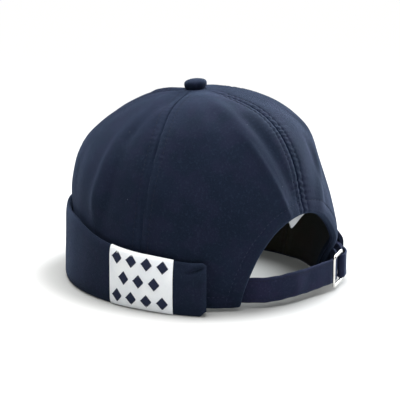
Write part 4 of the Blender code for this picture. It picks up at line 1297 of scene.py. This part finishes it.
def add_camera():
    camera = bpy.data.objects.new("camera", bpy.data.cameras.new("camera"))
    bpy.context.scene.collection.objects.link(camera)
    aim = Vector(CAP_PLACE) + Vector((0.0, 0.0, VIEW_AIM_HEIGHT))
    camera.location = aim + direction(VIEW_AZIMUTH, VIEW_ELEVATION) * VIEW_DISTANCE
    look_at(camera, aim)
    camera.data.lens = VIEW_LENS
    camera.data.sensor_width = 36.0
    camera.data.shift_x, camera.data.shift_y = VIEW_SHIFT
    camera.data.clip_start = 0.01
    bpy.context.scene.camera = camera


def add_lights():
    for name, azimuth, elevation, distance, width, power, colour in LIGHTS:
        lamp = bpy.data.lights.new(name, "AREA")
        lamp.shape = "RECTANGLE"
        lamp.size, lamp.size_y = width, width
        lamp.energy = power
        lamp.color = colour
        box = bpy.data.objects.new(name, lamp)
        bpy.context.scene.collection.objects.link(box)
        box.location = direction(azimuth, elevation) * distance + LIGHTS_AIM
        look_at(box, LIGHTS_AIM)


def add_floor():
    """A pale floor that glows, with painted light in its glow under the cap's middle and a painted shadow
    round the cap's wall, and that brightens to white away from it.
    """
    floor_paint = Finish("pale_floor", Roughness=0.9, Specular_IOR_Level=0.1, Emission_Strength=1.0)
    spot = floor_paint.place()
    away = floor_paint.node("ShaderNodeVectorMath", {"operation": "LENGTH"}, {0: spot}, out=1)
    shades = []
    for middle, low, high in (SHADE_INSIDE, SHADE_OUTSIDE):
        moved = floor_paint.node("ShaderNodeVectorMath", {"operation": "SUBTRACT"}, {0: spot, 1: middle})
        plan = floor_paint.scaled(moved, (1 / HALF_WIDTH, 2 / (FRONT_LENGTH + BACK_LENGTH), 0.0))
        share = floor_paint.node("ShaderNodeVectorMath", {"operation": "LENGTH"}, {0: plan}, out=1)
        shades.append(share.between(low, high))
    inside, outside = shades
    far = away.between(*FLOOR_FADE)
    colour = floor_paint.blend(far, rgb(0.34, 0.342, 0.338), rgb(0.0, 0.0, 0.0))
    # Painted light and painted shadow: the glow is bright under the cap's middle, which also lights the cap's
    # inside, dims to near black by the cap's wall and rises again outside it.
    glow = floor_paint.blend(inside, rgb(0.50, 0.52, 0.52), rgb(0.035, 0.037, 0.036))
    glow = floor_paint.blend(outside, glow, rgb(0.47, 0.47, 0.467))
    glow = floor_paint.blend(far, glow, rgb(1.0, 1.0, 0.995))
    floor_paint.tree.links.new(glow.socket, floor_paint.shader.inputs["Emission Color"])
    mesh = bpy.data.meshes.new("floor")
    half = FLOOR_SIZE / 2
    corners = [(-half, -half, 0), (half, -half, 0), (half, half, 0), (-half, half, 0)]
    mesh.from_pydata(corners, [], [(0, 1, 2, 3)])
    mesh.materials.append(floor_paint.finish(colour))
    floor = bpy.data.objects.new("floor", mesh)
    bpy.context.scene.collection.objects.link(floor)


def add_surroundings():
    """White surroundings behind the cap, and a dim even light from them."""
    world = bpy.data.worlds.new("studio")
    world.use_nodes = True
    nodes, links = world.node_tree.nodes, world.node_tree.links
    seen = nodes.new("ShaderNodeLightPath")
    level = nodes.new("ShaderNodeMapRange")
    level.inputs["To Min"].default_value = 0.03
    level.inputs["To Max"].default_value = 1.0
    links.new(seen.outputs["Is Camera Ray"], level.inputs["Value"])
    sky = nodes["Background"]
    sky.inputs["Color"].default_value = (1.0, 1.0, 0.995, 1.0)
    links.new(level.outputs["Result"], sky.inputs["Strength"])
    bpy.context.scene.world = world


add_camera()
add_floor()
add_surroundings()
add_lights()
bpy.context.scene.view_settings.view_transform = "Standard"

crown_panels()
arch_binding()
cloth_button()
turned_cuff()
PATCH_GRID = patch_grid()
PATCH_SIZE = woven_patch(PATCH_GRID)
patch_stitching(PATCH_GRID, *PATCH_SIZE)
patch_lozenges(PATCH_GRID, *PATCH_SIZE)
wire_buckle()
add_stitches("strap_stitching", *join_runs(long_strap() + sewn_loop()), NAVY_THREAD, "strap_twill",
             radius=STRAP_THREAD_RADIUS, bow=FINE_THREAD_BOW)
tape_label()
seam_topstitching()
hem_topstitching()
